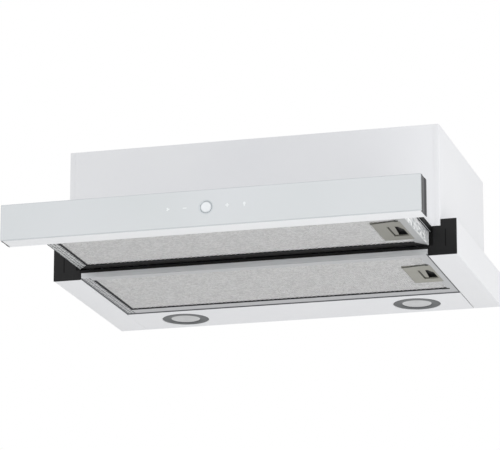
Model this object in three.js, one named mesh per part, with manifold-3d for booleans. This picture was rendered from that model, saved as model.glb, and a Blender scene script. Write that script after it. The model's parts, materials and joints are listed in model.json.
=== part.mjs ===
// Pull out range hood for a 600 mm cabinet, drawn with its drawer out.
// Millimetres, +Z up, +X to the right and +Y to the wall. While it is built, y = 0 is the
// front edge of the tray and z = 0 the underside; the last lines move the origin to the
// middle of the underside of the whole hood.
import * as THREE from 'three';
import { mergeVertices } from 'three/addons/utils/BufferGeometryUtils.js';
import Module from 'manifold-3d';

const wasm = await Module();
wasm.setup();

// ---------------------------------------------------------------- driving dimensions

// Clearances
const seatGap = 0.3;            // between two pieces that touch
const slideGap = 0.4;           // round a piece that slides
const filterGap = 0.5;          // between a filter and the opening it lies in

// Sheet steel housing
const sheet = 1.2;              // thickness of the folded sheet
const trayWidth = 596;
const trayDepth = 322;
const trayHeight = 52;
const trayStrip = 41.5;         // width of the tray's underside beside the filters
const trayLedge = 23;           // tray past the upper box, under the cabinet's side
const trayRearLedge = 8;        // tray past the upper box at the back
const boxTop = 192;             // height of the upper box over the underside
const boxInTray = 9.6;          // front panel's lower edge under the tray's top
const cornerFlange = 8;         // folded edge of the side panels at the front and back
const pressedIn = 0.3;          // side panels are thinner by this below the ledge

// Grease filters
const filterThickness = 8.4;
const rearFilterRecess = 1.2;   // rear filter's face over the tray's underside
const filterBorder = 14;        // width of the filter's aluminium frame
const filterRearBorder = 22;    // the rear filter's frame is wider along its back
const padInset = 1;             // the mesh pad lies this far inside the frame's faces
const padLayer = 1;             // thickness of the pad's upper and lower mesh layers
const padCell = 14;             // width of the cells between them
const padWeb = 1;               // between two cells
const sealDepth = 19;           // black strip along the back of the front filter
const hingeTabWidth = 18;
const hingeTabThickness = 1.4;
const frontTabRise = 1.6;       // underside of a tab over the front filter's underside
const rearTabReach = 5;         // the rear filter's tabs lie on the tray's sheet
const frontTabReach = 1.7;      // the front filter's tabs stand in the drawer's side wall

// Filter latch
const latchPlateLength = 96;    // along y
const latchPlateWidth = 42;
const latchPlateThickness = 1.2;
const latchFromEdge = 10;       // plate to the filter's right edge
const latchFromTray = 85;       // middle of the front filter's latch to the tray
const latchWindowInset = 3;     // opening that shows the slider, from the plate's right edge
const latchWindowWidth = 21;
const latchWindowLength = 50;
const latchWindowShift = 3;     // behind the middle of the plate
const latchPocketEdge = 1;      // slider left round the fingertip's hole, inside the window
const latchPocketWidth = 13;    // hole in the slider for a fingertip, at its back
const latchPocketWide = 26;     // length over which it keeps its right side straight
const latchPocketTip = 1.5;     // width of its front end
const latchPocketTipX = 8;      // and how far that lies from its right side
const latchSliderLength = 56;   // along y
const latchSliderThickness = 4.6;
const latchTongueLength = 22;   // along y
const latchTongueTip = 0.2;     // how far the tongue reaches past the frame
const latchTravel = 6;          // how far the slider draws back against its spring
const latchLip = 2;             // back edge of the plate, which the spring leans on
const latchRoof = 1.2;          // frame left above the latch
const springWidth = 12;
const springWire = 0.8;
const springFolds = 3;
const springSlack = 0.5;        // left between its folds when the latch is drawn back

// Drawer
const drawerOut = 191.5;        // tray front to the back of the fascia, as drawn
const closedGap = 2;            // fascia to tray when shut
const drawerUnderBox = 3;       // top of its side walls, under the front panel's edge
const runnerWidth = 4.4;
const runnerHeight = 7.7;
const runnerEndGap = 20;        // runner to the tray's back when shut
const railDepth = 14;           // front rail, front to back

// Slides and guide caps
const channelLip = 4;           // how far the steel channel folds round the runner
const channelFlange = 8;        // height of the flange that is fixed to the side panel
const channelPast = 4;          // the channel runs this far past the runner, when shut
const capDepth = 30;
const capFlange = 2;            // thickness of the cap's front, which covers the tray's edge
const capTopGap = 0.3;          // between the cap and the sheet round it
const crossBarDepth = 13;
const crossBarHeight = 4.7;

// Fascia
const fasciaBottom = 2;
const fasciaHeight = 51.4;
const fasciaDepth = 36;         // glass included
const glassThickness = 4;       // the glass covers the ends of the caps behind it
const endCapThickness = 1.7;
const profileWall = 1.4;
const profileLip = 9;           // height of the lips that the glass is bonded to
const controlX = -1.8;          // middle of the controls
const frameWidth = 152;         // control frame behind the glass
const frameWall = 2;
const frameGap = 0.6;           // under the profile's upper lip
const frameDepth = 4.5;
const boardThickness = 1.6;
const buttonRaised = 1;         // over the middle of the glass
const ringOuter = 10.5;         // radii
const ringInner = 8.3;
const buttonRadius = 8;
const buttonThickness = 2.5;
const buttonDish = 0.7;         // depth of the hollow in the button's face
const buttonStem = 3;           // radius
const buttonTravel = 1.4;

// Fan
const fanUnderTop = 73;         // wheel axis under the top of the box
const fanToCollar = 48;         // and in front of the collar's middle
const wheelRadius = 52;
const wheelHalfWidth = 42;
const wheelHub = 9;
const hubHalfLength = 10;
const wheelDisc = 2;            // thickness of the disc and of the end rings
const bladeCount = 24;
const bladeDepth = 8;
const bladeThickness = 1.2;
const bladeAngle = 35;          // degrees off the radius
const endRingWidth = 3;
const scrollHalfWidth = 48;
const scrollStart = 58;         // outer radius at the tongue
const scrollEnd = 72;           // outer radius at the outlet
const scrollWall = 1.5;
const scrollFlange = 1.6;       // thickness of the outlet flange, under the top plate
const tongueAngle = 65;         // degrees from +Y, seen along the axis
const inletRadius = 44;
const shaftRadius = 4;
const shaftInMotor = 20;
const motorRadius = 33;
const motorLength = 42;
const motorBossRadius = 15;
const motorBossLength = 5;
const bracketThickness = 3;
const bracketHub = 16;
const bracketArm = 10;          // width of an arm
const bracketReach = 8;         // the arms run this far past the inlet's edge

// Outlet
const collarFromBack = 118;     // its middle, from the back of the upper box
const collarRadius = 60;
const collarWall = 1.5;
const collarHeight = 35;        // over the top of the box
const collarFlange = 13;        // width of the flange
const collarFlangeThickness = 2;
const outletRadius = 55;        // hole in the top plate
const pinRadius = 2;
const flapThickness = 1.2;
const flapGap = 1;              // between a flap's rim and the collar
const flapPinGap = 0.6;         // between a flap's straight edge and the knuckles
const knuckleWall = 1.4;
const knuckleLength = 14;
const knuckleStarts = [-41, 5]; // left ends of the rear flap's knuckles
const knuckleGap = 1;           // along the pin, to the other flap's knuckle
const screwRadius = 2;          // collar screws

// Lamps
const lampPanelDepth = 100;     // from the tray's back
const lampPanelFold = 12;       // height of the fold along the panel's front
const lampFromSide = 118.5;     // lamp's middle, from the tray's side
const lampBehind = 1;           // and behind the panel's middle
const lampRadius = 35;
const lensRadius = 21.7;
const lensThickness = 2;
const lampRecess = 0.2;         // bezel face over the underside
const bezelThickness = 2.6;
const bezelRim = 2.5;           // rim on top of the panel
const lensRecess = 0.4;         // lens face over the bezel's face
const lampBodyRadius = 30;
const lampBodyHeight = 16;

// Electrics
const terminalBox = { fromSide: 68, y: 40, width: 88, depth: 66, height: 40 };
const terminalWall = 2;
const driverBox = { width: 92, depth: 46, height: 22 };
const capacitorRadius = 14;
const capacitorLength = 52;
const capacitorStud = { radius: 4, length: 8 };
const capacitorFromSide = 76;
const capacitorY = 70;
const switchBox = { width: 10, depth: 22, height: 9 };
const switchFromEnd = 6;        // from the runner's end when shut
const glandFromSide = 62;
const glandFromBack = 36;
const glandRadius = 7;
const glandFlange = 10.5;
const glandBore = 3.6;
const glandHeight = 9;

// ---------------------------------------------------------------- derived places

const halfTray = trayWidth / 2;
const halfBox = halfTray - trayLedge;
const boxDepth = trayDepth - trayRearLedge;
const boxBottom = trayHeight - boxInTray;
const openingEdge = halfTray - trayStrip;
const halfFilter = openingEdge - filterGap;
const lampPanelFront = trayDepth - lampPanelDepth;
const rearFilterDepth = lampPanelFront - 2 * filterGap;
const wallInner = openingEdge + seatGap;            // drawer side wall
const wallOuter = wallInner + sheet;
const crossBarBase = rearFilterRecess + filterThickness + seatGap;
const drawerBase = crossBarBase + crossBarHeight + slideGap;
const rearTabRise = sheet + seatGap - rearFilterRecess;  // the tabs lie on the tray's sheet
const drawerTop = boxBottom - drawerUnderBox;
const latchFromFront = drawerOut - latchFromTray;   // from either filter's front edge
const latchPlateRight = halfFilter - latchFromEdge;
const latchPlateLeft = latchPlateRight - latchPlateWidth;
const latchWindowRight = latchPlateRight - latchWindowInset;
const springLength = latchTravel + (springFolds + 1) * springWire + springSlack;
const latchSliderLeft = latchPlateLeft + latchLip + springLength + 2 * seatGap;
const fasciaBack = -drawerOut;
const fasciaFront = fasciaBack - fasciaDepth;
const glassBack = fasciaFront + glassThickness;
const fasciaTop = fasciaBottom + fasciaHeight;
const frameHeight = fasciaHeight - 2 * (profileLip + buttonRaised + frameGap);
const buttonHeight = fasciaBottom + fasciaHeight / 2 + buttonRaised;
const travel = drawerOut - closedGap;
const runnerInner = wallOuter + seatGap;
const runnerOuter = runnerInner + runnerWidth;
const runnerTop = boxBottom - seatGap - slideGap;
const runnerBase = runnerTop - runnerHeight;
const runnerBack = trayDepth - runnerEndGap - travel;
const topUnderside = boxTop - sheet;
const frontFilterDepth = drawerOut - filterGap - seatGap;
const collarY = boxDepth - collarFromBack;
const collarTop = boxTop + collarHeight;
const fanY = collarY - fanToCollar;                 // wheel axis
const fanZ = boxTop - fanUnderTop;
const lampX = halfTray - lampFromSide;
const lampY = trayDepth - lampPanelDepth / 2 + lampBehind;
const glandX = halfBox - glandFromSide;
const glandY = boxDepth - glandFromBack;

// ---------------------------------------------------------------- materials

const paint = { color: 0xe4e5e6, roughness: 0.35, metalness: 0 };
const galvanised = { color: 0xb9bcbd, roughness: 0.45, metalness: 0.8 };
const aluminium = { color: 0xb4b6b8, roughness: 0.4, metalness: 0.8 };
const meshPad = { color: 0xa6a7a6, roughness: 0.6, metalness: 0.6 };
const blackPlastic = { color: 0x26272a, roughness: 0.5, metalness: 0 };
const greyPlastic = { color: 0x4a4c50, roughness: 0.5, metalness: 0 };
const latchPlastic = { color: 0xa4a49a, roughness: 0.55, metalness: 0 };
const whiteGlass = { color: 0xd9dde0, roughness: 0.08, metalness: 0 };
const ringMetal = { color: 0x8a8d90, roughness: 0.3, metalness: 0.9 };
const buttonWhite = { color: 0xeef0f1, roughness: 0.3, metalness: 0 };
const boardGreen = { color: 0x2c6b45, roughness: 0.6, metalness: 0 };
const steel = { color: 0x9a9da0, roughness: 0.35, metalness: 0.9 };
const whitePlastic = { color: 0xd8d9d6, roughness: 0.5, metalness: 0 };
const lensPlastic = { color: 0xd4d7d8, roughness: 0.25, metalness: 0 };
const bezelGrey = { color: 0x74787b, roughness: 0.35, metalness: 0.6 };

// ---------------------------------------------------------------- shape helpers

const hood = new THREE.Group();

function addPiece(name, shape, finish) {
  const mesh = new THREE.Mesh(toGeometry(shape), new THREE.MeshStandardMaterial(finish));
  mesh.name = name;
  hood.add(mesh);
  return mesh;
}

function toSolid(geometry) {
  geometry.deleteAttribute('normal');
  geometry.deleteAttribute('uv');
  const merged = mergeVertices(geometry, 1e-4);
  const vertProperties = new Float32Array(merged.attributes.position.array);
  const triVerts = new Uint32Array(merged.index.array);
  return new wasm.Manifold(new wasm.Mesh({ numProp: 3, vertProperties, triVerts }));
}

function toGeometry(solid) {
  const mesh = solid.getMesh();
  const geometry = new THREE.BufferGeometry();
  const points = new Float32Array(mesh.numVert * 3);
  for (let i = 0; i < mesh.numVert; i += 1) {
    for (let k = 0; k < 3; k += 1) {
      points[i * 3 + k] = mesh.vertProperties[i * mesh.numProp + k];
    }
  }
  geometry.setAttribute('position', new THREE.BufferAttribute(points, 3));
  geometry.setIndex(new THREE.BufferAttribute(new Uint32Array(mesh.triVerts), 1));
  geometry.computeVertexNormals();
  return geometry;
}

function block(x0, x1, y0, y1, z0, z1) {
  const geometry = new THREE.BoxGeometry(x1 - x0, y1 - y0, z1 - z0);
  geometry.translate((x0 + x1) / 2, (y0 + y1) / 2, (z0 + z1) / 2);
  return toSolid(geometry);
}

// A bar from a to b along an axis with the outline given in the other two axes.
// Along 'x' the outline is [y, z], along 'y' it is [x, z] and along 'z' it is [x, y].
function bar(axis, outline, a, b) {
  const shape = new THREE.Shape(outline.map(([u, v]) => new THREE.Vector2(u, v)));
  const geometry = new THREE.ExtrudeGeometry(shape, { depth: b - a, bevelEnabled: false });
  const turn = new THREE.Matrix4();
  if (axis === 'x') {
    turn.makeBasis(new THREE.Vector3(0, 1, 0), new THREE.Vector3(0, 0, 1), new THREE.Vector3(1, 0, 0));
    turn.setPosition(a, 0, 0);
  } else if (axis === 'y') {
    turn.makeBasis(new THREE.Vector3(1, 0, 0), new THREE.Vector3(0, 0, 1), new THREE.Vector3(0, -1, 0));
    turn.setPosition(0, b, 0);
  } else {
    turn.setPosition(0, 0, a);
  }
  geometry.applyMatrix4(turn);
  return toSolid(geometry);
}

// A round rod along an axis, centred on [u, v] in the other two axes.
function rod(axis, radius, centre, a, b, sides = 32) {
  const outline = [];
  for (let i = 0; i < sides; i += 1) {
    const angle = ((i + 0.5) / sides) * 2 * Math.PI;
    outline.push([centre[0] + radius * Math.cos(angle), centre[1] + radius * Math.sin(angle)]);
  }
  return bar(axis, outline, a, b);
}

function join(...shapes) {
  return shapes.reduce((sum, shape) => sum.add(shape));
}

function cut(shape, ...tools) {
  return tools.reduce((left, tool) => left.subtract(tool), shape);
}

// The same outline on the other side of the hood.
function mirrored(outline) {
  return outline.map(([x, z]) => [-x, z]);
}

// ---------------------------------------------------------------- housing

function frontPanel() {
  const edge = halfBox - cornerFlange - seatGap;
  return block(-edge, edge, 0, sheet, boxBottom, boxTop);
}

// Side of the upper box with a folded edge at the front and the back. Its face is pressed in
// below the tray's ledge, so that the cabinet's side lies flat on the face above it.
function sidePanel(side) {
  const flange = halfBox - cornerFlange;
  const back = boxDepth;
  const outline = [
    [halfBox, 0], [halfBox, back], [flange, back], [flange, back - sheet],
    [halfBox - sheet, back - sheet], [halfBox - sheet, sheet], [flange, sheet], [flange, 0],
  ];
  const panel = bar('z', side > 0 ? outline : mirrored(outline), boxBottom, boxTop);
  const face = side * (halfBox - pressedIn);
  const past = side * (halfBox + 1);
  return cut(panel, block(Math.min(face, past), Math.max(face, past), -1, boxDepth + 1,
    boxBottom - 1, trayHeight + seatGap));
}

function backPanel() {
  const edge = halfBox - cornerFlange - seatGap;
  return block(-edge, edge, boxDepth - sheet, boxDepth, boxBottom, boxTop);
}

function topPlate() {
  const edge = halfBox - sheet - seatGap;
  const front = sheet + seatGap;
  const plate = block(-edge, edge, front, boxDepth - front, topUnderside, boxTop);
  const outlet = rod('z', outletRadius, [0, collarY], topUnderside - 1, boxTop + 1, 64);
  const gland = rod('z', glandRadius + seatGap, [glandX, glandY], topUnderside - 1, boxTop + 1, 24);
  return cut(plate, outlet, gland, ...screwHoles(topUnderside - 1, boxTop + 1));
}

// Tray side: underside strip, outer wall and the ledge that meets the cabinet's side.
function traySide(side) {
  const ledge = halfBox + seatGap;
  const outline = [
    [openingEdge, 0], [halfTray, 0], [halfTray, trayHeight], [ledge, trayHeight],
    [ledge, trayHeight - sheet], [halfTray - sheet, trayHeight - sheet],
    [halfTray - sheet, sheet], [openingEdge, sheet],
  ];
  return bar('y', side > 0 ? outline : mirrored(outline), capFlange + seatGap, trayDepth);
}

// Rear rail: the tray's back wall with a ledge up to the upper box.
function trayRear() {
  const wallEdge = halfTray - sheet - seatGap;
  const wall = block(-wallEdge, wallEdge, trayDepth - sheet, trayDepth, sheet + seatGap,
    trayHeight - sheet - seatGap);
  const rise = block(-halfBox, halfBox, trayDepth - sheet, trayDepth,
    trayHeight - 2 * sheet - seatGap, trayHeight);
  const ledge = block(-halfBox, halfBox, boxDepth + seatGap, trayDepth,
    trayHeight - sheet, trayHeight);
  return join(wall, rise, ledge);
}

// Underside strip behind the rear filter, with a fold up at its front and two lamp holes.
function lampPanel() {
  const edge = openingEdge - seatGap;
  const strip = block(-edge, edge, lampPanelFront, trayDepth, 0, sheet);
  const fold = block(-edge, edge, lampPanelFront, lampPanelFront + sheet, 0, lampPanelFold);
  const holes = [-lampX, lampX].map((x) => (
    rod('z', lampRadius + seatGap, [x, lampY], -1, sheet + 1, 48)
  ));
  return cut(join(strip, fold), ...holes);
}

// Section of the guide cap, open round the runner and the drawer's side wall.
function capSection(low, outer, high) {
  const notch = boxBottom - seatGap;
  const slotEdge = runnerOuter + slideGap;
  return [
    [openingEdge + seatGap, low], [outer, low], [outer, high],
    [halfBox + seatGap, high], [halfBox + seatGap, notch], [slotEdge, notch],
    [slotEdge, runnerBase - slideGap], [wallOuter + slideGap, runnerBase - slideGap],
    [wallOuter + slideGap, drawerBase - slideGap], [openingEdge + seatGap, drawerBase - slideGap],
  ];
}

// Black plastic cap in the mouth of the tray side; its front covers the edge of the sheet.
function guideCap(side) {
  const inset = sheet + capTopGap;
  const front = capSection(0, halfTray, trayHeight);
  const plug = capSection(inset, halfTray - inset, trayHeight - inset);
  return join(
    bar('y', side > 0 ? front : mirrored(front), 0, capFlange),
    bar('y', side > 0 ? plug : mirrored(plug), 0, capDepth),
  );
}

function crossBar() {
  return block(-openingEdge, openingEdge, 2 * seatGap, crossBarDepth, crossBarBase,
    crossBarBase + crossBarHeight);
}

// Fixed steel channel, folded round the runner, with a shelf and a flange out to the side panel.
function slideChannel(side) {
  const back = halfBox - sheet - seatGap;
  const inside = runnerOuter + slideGap;
  const mouth = inside - channelLip;
  const low = runnerBase - slideGap;
  const high = runnerTop + slideGap;
  const flangeTop = high + sheet + channelFlange;
  const outline = [
    [mouth, low - sheet], [inside + sheet, low - sheet], [inside + sheet, high], [back, high],
    [back, flangeTop], [back - sheet, flangeTop], [back - sheet, high + sheet],
    [mouth, high + sheet], [mouth, high], [inside, high], [inside, low], [mouth, low],
  ];
  const start = capDepth + seatGap;
  return bar('y', side > 0 ? outline : mirrored(outline), start, trayDepth - runnerEndGap + channelPast);
}

// ---------------------------------------------------------------- drawer

function runner(side) {
  const front = fasciaBack + seatGap;
  const x0 = side > 0 ? runnerInner : -runnerOuter;
  return block(x0, x0 + runnerWidth, front, runnerBack, runnerBase, runnerTop);
}

function drawerSide(side) {
  const front = fasciaBack + seatGap;
  const x0 = side > 0 ? wallInner : -wallOuter;
  const wall = block(x0, x0 + sheet, front, -seatGap, drawerBase, drawerTop);
  if (side > 0) return wall;
  const slots = tabPlaces(frontFilterStart(), frontFilterDepth).map((y) => (
    block(-wallOuter - 1, -wallInner + 1, y - hingeTabWidth / 2 - slideGap,
      y + hingeTabWidth / 2 + slideGap, drawerBase + frontTabRise - seatGap,
      drawerBase + frontTabRise + hingeTabThickness + 2 * frontTabReach)
  ));
  return cut(wall, ...slots);
}

function drawerCover() {
  const front = fasciaBack + seatGap;
  const base = drawerTop + seatGap;
  return block(-wallOuter, wallOuter, front, -seatGap, base, base + sheet);
}

function drawerFrontRail() {
  const front = fasciaBack + seatGap;
  const base = drawerBase + filterThickness + seatGap;
  const outer = block(-wallInner + seatGap, wallInner - seatGap, front, front + railDepth, base, drawerTop);
  const hollow = block(-wallInner, wallInner, front + sheet, front + railDepth + 1,
    base + sheet, drawerTop - sheet);
  return cut(outer, hollow);
}

// ---------------------------------------------------------------- fascia

// White aluminium profile behind the glass, open to the front.
function fasciaProfile() {
  const edge = halfTray - endCapThickness - seatGap;
  const front = glassBack + seatGap;
  const back = fasciaBack;
  const outline = [
    [front, fasciaBottom], [back, fasciaBottom], [back, fasciaTop], [front, fasciaTop],
    [front, fasciaTop - profileLip], [front + profileWall, fasciaTop - profileLip],
    [front + profileWall, fasciaTop - profileWall], [back - profileWall, fasciaTop - profileWall],
    [back - profileWall, fasciaBottom + profileWall], [front + profileWall, fasciaBottom + profileWall],
    [front + profileWall, fasciaBottom + profileLip], [front, fasciaBottom + profileLip],
  ];
  return bar('x', outline, -edge, edge);
}

function fasciaGlass() {
  const sheetOfGlass = block(-halfTray, halfTray, fasciaFront, glassBack, fasciaBottom, fasciaTop);
  const hole = rod('y', ringOuter + seatGap, [controlX, buttonHeight], fasciaFront - 1, glassBack + 1, 48);
  return cut(sheetOfGlass, hole);
}

function fasciaEndCap(side) {
  const x0 = side > 0 ? halfTray - endCapThickness : -halfTray;
  return block(x0, x0 + endCapThickness, glassBack + seatGap, fasciaBack, fasciaBottom, fasciaTop);
}

// Frame that holds the control board behind the glass.
function controlFrame() {
  const front = glassBack + seatGap;
  const low = buttonHeight - frameHeight / 2;
  const left = controlX - frameWidth / 2;
  const right = left + frameWidth;
  const outer = block(left, right, front, front + frameDepth, low, low + frameHeight);
  const window = block(left + frameWall, right - frameWall, front - 1, front + frameDepth + 1,
    low + frameWall, low + frameHeight - frameWall);
  return cut(outer, window);
}

function controlBoard() {
  const front = glassBack + 2 * seatGap + frameDepth;
  const low = buttonHeight - frameHeight / 2;
  const left = controlX - frameWidth / 2;
  return block(left, left + frameWidth, front, front + boardThickness, low, low + frameHeight);
}

function buttonRing() {
  const place = [controlX, buttonHeight];
  const outer = rod('y', ringOuter, place, fasciaFront, glassBack, 48);
  const bore = rod('y', ringInner, place, fasciaFront - 1, glassBack + 1, 48);
  return cut(outer, bore);
}

// Round button with a dished face and a stem that reaches the board's switch.
function powerButton() {
  const boardFace = glassBack + 2 * seatGap + frameDepth;
  const face = fasciaFront + seatGap;
  const stemEnd = boardFace - seatGap - buttonTravel;
  const profile = [];
  const steps = 5;
  for (let i = 0; i <= steps; i += 1) {
    const share = i / steps;
    profile.push([(buttonRadius - 1) * share, face + buttonDish * (1 - share * share)]);
  }
  profile.push([buttonRadius, face], [buttonRadius, face + buttonThickness]);
  profile.push([buttonStem, face + buttonThickness], [buttonStem, stemEnd], [0, stemEnd]);
  const points = profile.map(([radius, y]) => new THREE.Vector2(radius, y));
  const geometry = new THREE.LatheGeometry(points, 40);
  geometry.translate(controlX, 0, buttonHeight);
  return toSolid(geometry);
}

// ---------------------------------------------------------------- filters

function frontFilterStart() {
  return fasciaBack + filterGap;
}

// Middle of each hinge tab along the filter's depth.
function tabPlaces(start, depth) {
  return [start + depth * 0.25, start + depth * 0.75];
}

function hingeTabs(start, depth, low, reach) {
  return tabPlaces(start, depth).map((y) => (
    block(-halfFilter - reach, -halfFilter + 1, y - hingeTabWidth / 2, y + hingeTabWidth / 2,
      low, low + hingeTabThickness)
  ));
}

// Space in the filter for the latch plate, its slider and the tongue's way out.
function latchSpace(start, base) {
  const middle = start + latchFromFront;
  const slider = middle + latchWindowShift;
  const half = latchPlateLength / 2 + seatGap;
  const plate = block(latchPlateLeft - seatGap, latchPlateRight + seatGap, middle - half,
    middle + half, base - 1, base + filterThickness - latchRoof);
  const way = latchTongueLength / 2 + slideGap;
  const tongue = block(latchPlateRight, halfFilter + 1, slider - way, slider + way,
    base + sliderRise() - seatGap, base + sliderRise() + latchSliderThickness + slideGap);
  return [plate, tongue];
}

// Underside of the slider over the filter's underside.
function sliderRise() {
  return 2 * seatGap + latchPlateThickness;
}

// Aluminium frame: a ring with a border, cut out for the latch, with its hinge tabs.
function filterFrame(start, depth, base, rearBorder, tabs, mitred) {
  const top = base + filterThickness;
  const outer = block(-halfFilter, halfFilter, start, start + depth, base, top);
  const inner = block(-halfFilter + filterBorder, halfFilter - filterBorder,
    start + filterBorder, start + depth - rearBorder, base - 1, top + 1);
  const tools = [inner, ...latchSpace(start, base)];
  if (mitred) tools.push(sealOutline(start + depth, base - 1, top + 1, seatGap));
  return join(cut(outer, ...tools), ...hingeTabs(start, depth, base + tabs.rise, tabs.reach));
}

// The strip's ends are cut at an angle where they meet the side borders.
function sealOutline(back, z0, z1, grow) {
  const front = back - sealDepth - grow;
  const narrow = halfFilter - filterBorder + grow;
  const wide = halfFilter + grow * 4;
  const outline = [[-narrow, front], [narrow, front], [wide, back + grow], [-wide, back + grow]];
  return bar('z', outline, z0, z1);
}

function filterSeal(start, depth, base) {
  const back = start + depth;
  const narrow = halfFilter - filterBorder - seatGap;
  const outline = [
    [-narrow, back - sealDepth], [narrow, back - sealDepth],
    [halfFilter - seatGap, back], [-halfFilter + seatGap, back],
  ];
  return bar('z', outline, base, base + filterThickness);
}

// Mesh pad: an upper and a lower layer with a row of cells between them.
function filterPad(start, depth, base, rearBorder) {
  const middle = start + latchFromFront;
  const half = latchPlateLength / 2 + 2 * seatGap;
  const edge = halfFilter - filterBorder - seatGap;
  const front = start + filterBorder + seatGap;
  const back = start + depth - rearBorder - seatGap;
  const low = base + padInset;
  const high = base + filterThickness - padInset;
  const tools = [
    block(latchPlateLeft - 2 * seatGap, halfFilter, middle - half, middle + half, low - 1, high + 1),
  ];
  for (let y = front + padWeb; y + padCell + padWeb <= back; y += padCell + padWeb) {
    tools.push(block(-edge - 1, edge + 1, y, y + padCell, low + padLayer, high - padLayer));
  }
  return cut(block(-edge, edge, front, back, low, high), ...tools);
}

// Plate over the latch, with an opening for a fingertip and a lip for the spring.
function latchPlate(start, base) {
  const middle = start + latchFromFront;
  const half = latchPlateLength / 2;
  const low = base + seatGap;
  const plate = block(latchPlateLeft, latchPlateRight, middle - half, middle + half,
    low, low + latchPlateThickness);
  const lip = block(latchPlateLeft, latchPlateLeft + latchLip, middle - half, middle + half,
    low, base + filterThickness - latchRoof - seatGap);
  const windowMiddle = middle + latchWindowShift;
  const window = block(latchWindowRight - latchWindowWidth, latchWindowRight,
    windowMiddle - latchWindowLength / 2, windowMiddle + latchWindowLength / 2, low - 1,
    low + latchPlateThickness + 1);
  return cut(join(plate, lip), window);
}

// Slider with its tongue and a hole that narrows to the front, for a fingertip.
function latchSlider(start, base) {
  const middle = start + latchFromFront + latchWindowShift;
  const low = base + sliderRise();
  const high = low + latchSliderThickness;
  const body = block(latchSliderLeft, latchPlateRight - seatGap, middle - latchSliderLength / 2,
    middle + latchSliderLength / 2, low, high);
  const tongue = block(latchPlateRight - 2, halfFilter + latchTongueTip,
    middle - latchTongueLength / 2, middle + latchTongueLength / 2, low, high);
  const right = latchWindowRight - latchPocketEdge;
  const front = middle - latchWindowLength / 2 + latchPocketEdge;
  const back = middle + latchWindowLength / 2 - latchPocketEdge;
  const tip = right - latchPocketTipX;
  const pocket = bar('z', [
    [right, back], [right - latchPocketWidth, back], [tip - latchPocketTip, front], [tip, front],
    [right, back - latchPocketWide],
  ], low - 1, high + 1);
  return cut(join(body, tongue), pocket);
}

// Flat steel spring folded to and fro between the plate's lip and the slider.
function latchSpring(start, base) {
  const middle = start + latchFromFront + latchWindowShift;
  const low = base + sliderRise() + slideGap;
  const high = low + latchSliderThickness - 2 * slideGap;
  const from = latchPlateLeft + latchLip + seatGap;
  const step = (springLength - springWire) / springFolds;
  const reach = springWidth / 2;
  const legs = [];
  for (let i = 0; i <= springFolds; i += 1) {
    const x = from + i * step;
    legs.push(block(x, x + springWire, middle - reach, middle + reach, low, high));
    if (i < springFolds) {
      const end = i % 2 === 0 ? middle + reach - springWire : middle - reach;
      legs.push(block(x, x + step + springWire, end, end + springWire, low, high));
    }
  }
  return join(...legs);
}

// ---------------------------------------------------------------- fan

// Outline of the scroll seen along the axis, as [y, z] points, drawn in by an inset.
function scrollOutline(inset, top) {
  const points = [];
  const steps = 40;
  for (let i = 0; i <= steps; i += 1) {
    const angle = THREE.MathUtils.degToRad(tongueAngle + ((360 - tongueAngle) * i) / steps);
    const radius = scrollStart + ((scrollEnd - scrollStart) * i) / steps - inset;
    points.push([fanY + radius * Math.cos(angle), fanZ + radius * Math.sin(angle)]);
  }
  points.push([fanY + scrollEnd - inset, top]);
  const tongueY = fanY + scrollStart * Math.cos(THREE.MathUtils.degToRad(tongueAngle)) + inset;
  points.push([tongueY, top]);
  if (inset > 0) points.push([tongueY, points[0][1]]);
  return points;
}

// Half of the scroll, with half of the flange that is screwed up through the top plate.
function scrollHalf(side) {
  const low = side > 0 ? seatGap / 2 : -scrollHalfWidth;
  const high = side > 0 ? scrollHalfWidth : -seatGap / 2;
  const top = topUnderside - seatGap;
  const rim = collarRadius + collarFlange;
  const flange = cut(
    rod('z', rim, [0, collarY], top - scrollFlange, top, 64),
    block(side > 0 ? -rim - 1 : high, side > 0 ? low : rim + 1, collarY - rim - 1, collarY + rim + 1,
      top - scrollFlange - 1, top + 1),
    ...screwHoles(top - scrollFlange - 1, top + 1),
  );
  const outer = join(bar('x', scrollOutline(0, top), low, high), flange);
  const innerLow = side > 0 ? low - 1 : low + scrollWall;
  const innerHigh = side > 0 ? high - scrollWall : high + 1;
  const inner = bar('x', scrollOutline(scrollWall, top + 1), innerLow, innerHigh);
  const inlet = rod('x', inletRadius, [fanY, fanZ], low - 2, high + 2, 48);
  return cut(outer, inner, inlet);
}

function impeller() {
  const disc = rod('x', wheelRadius, [fanY, fanZ], -wheelDisc / 2, wheelDisc / 2, 48);
  const hub = rod('x', wheelHub, [fanY, fanZ], -hubHalfLength, hubHalfLength, 24);
  const rings = [-wheelHalfWidth, wheelHalfWidth - wheelDisc].map((a) => cut(
    rod('x', wheelRadius, [fanY, fanZ], a, a + wheelDisc, 48),
    rod('x', wheelRadius - endRingWidth, [fanY, fanZ], a - 1, a + wheelDisc + 1, 48),
  ));
  const blades = [];
  for (let i = 0; i < bladeCount; i += 1) {
    const around = (i / bladeCount) * 2 * Math.PI;
    const lean = around + THREE.MathUtils.degToRad(bladeAngle);
    const foot = [
      fanY + (wheelRadius - 1) * Math.cos(around),
      fanZ + (wheelRadius - 1) * Math.sin(around),
    ];
    const along = [-Math.cos(lean) * bladeDepth, -Math.sin(lean) * bladeDepth];
    const across = [(-Math.sin(lean) * bladeThickness) / 2, (Math.cos(lean) * bladeThickness) / 2];
    blades.push(bar('x', [
      [foot[0] - across[0], foot[1] - across[1]],
      [foot[0] + across[0], foot[1] + across[1]],
      [foot[0] + along[0] + across[0], foot[1] + along[1] + across[1]],
      [foot[0] + along[0] - across[0], foot[1] + along[1] - across[1]],
    ], -wheelHalfWidth + wheelDisc / 2, wheelHalfWidth - wheelDisc / 2));
  }
  const bore = rod('x', shaftRadius + seatGap, [fanY, fanZ], -hubHalfLength - 1, hubHalfLength + 1, 24);
  return cut(join(disc, hub, ...rings, ...blades), bore);
}

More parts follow.
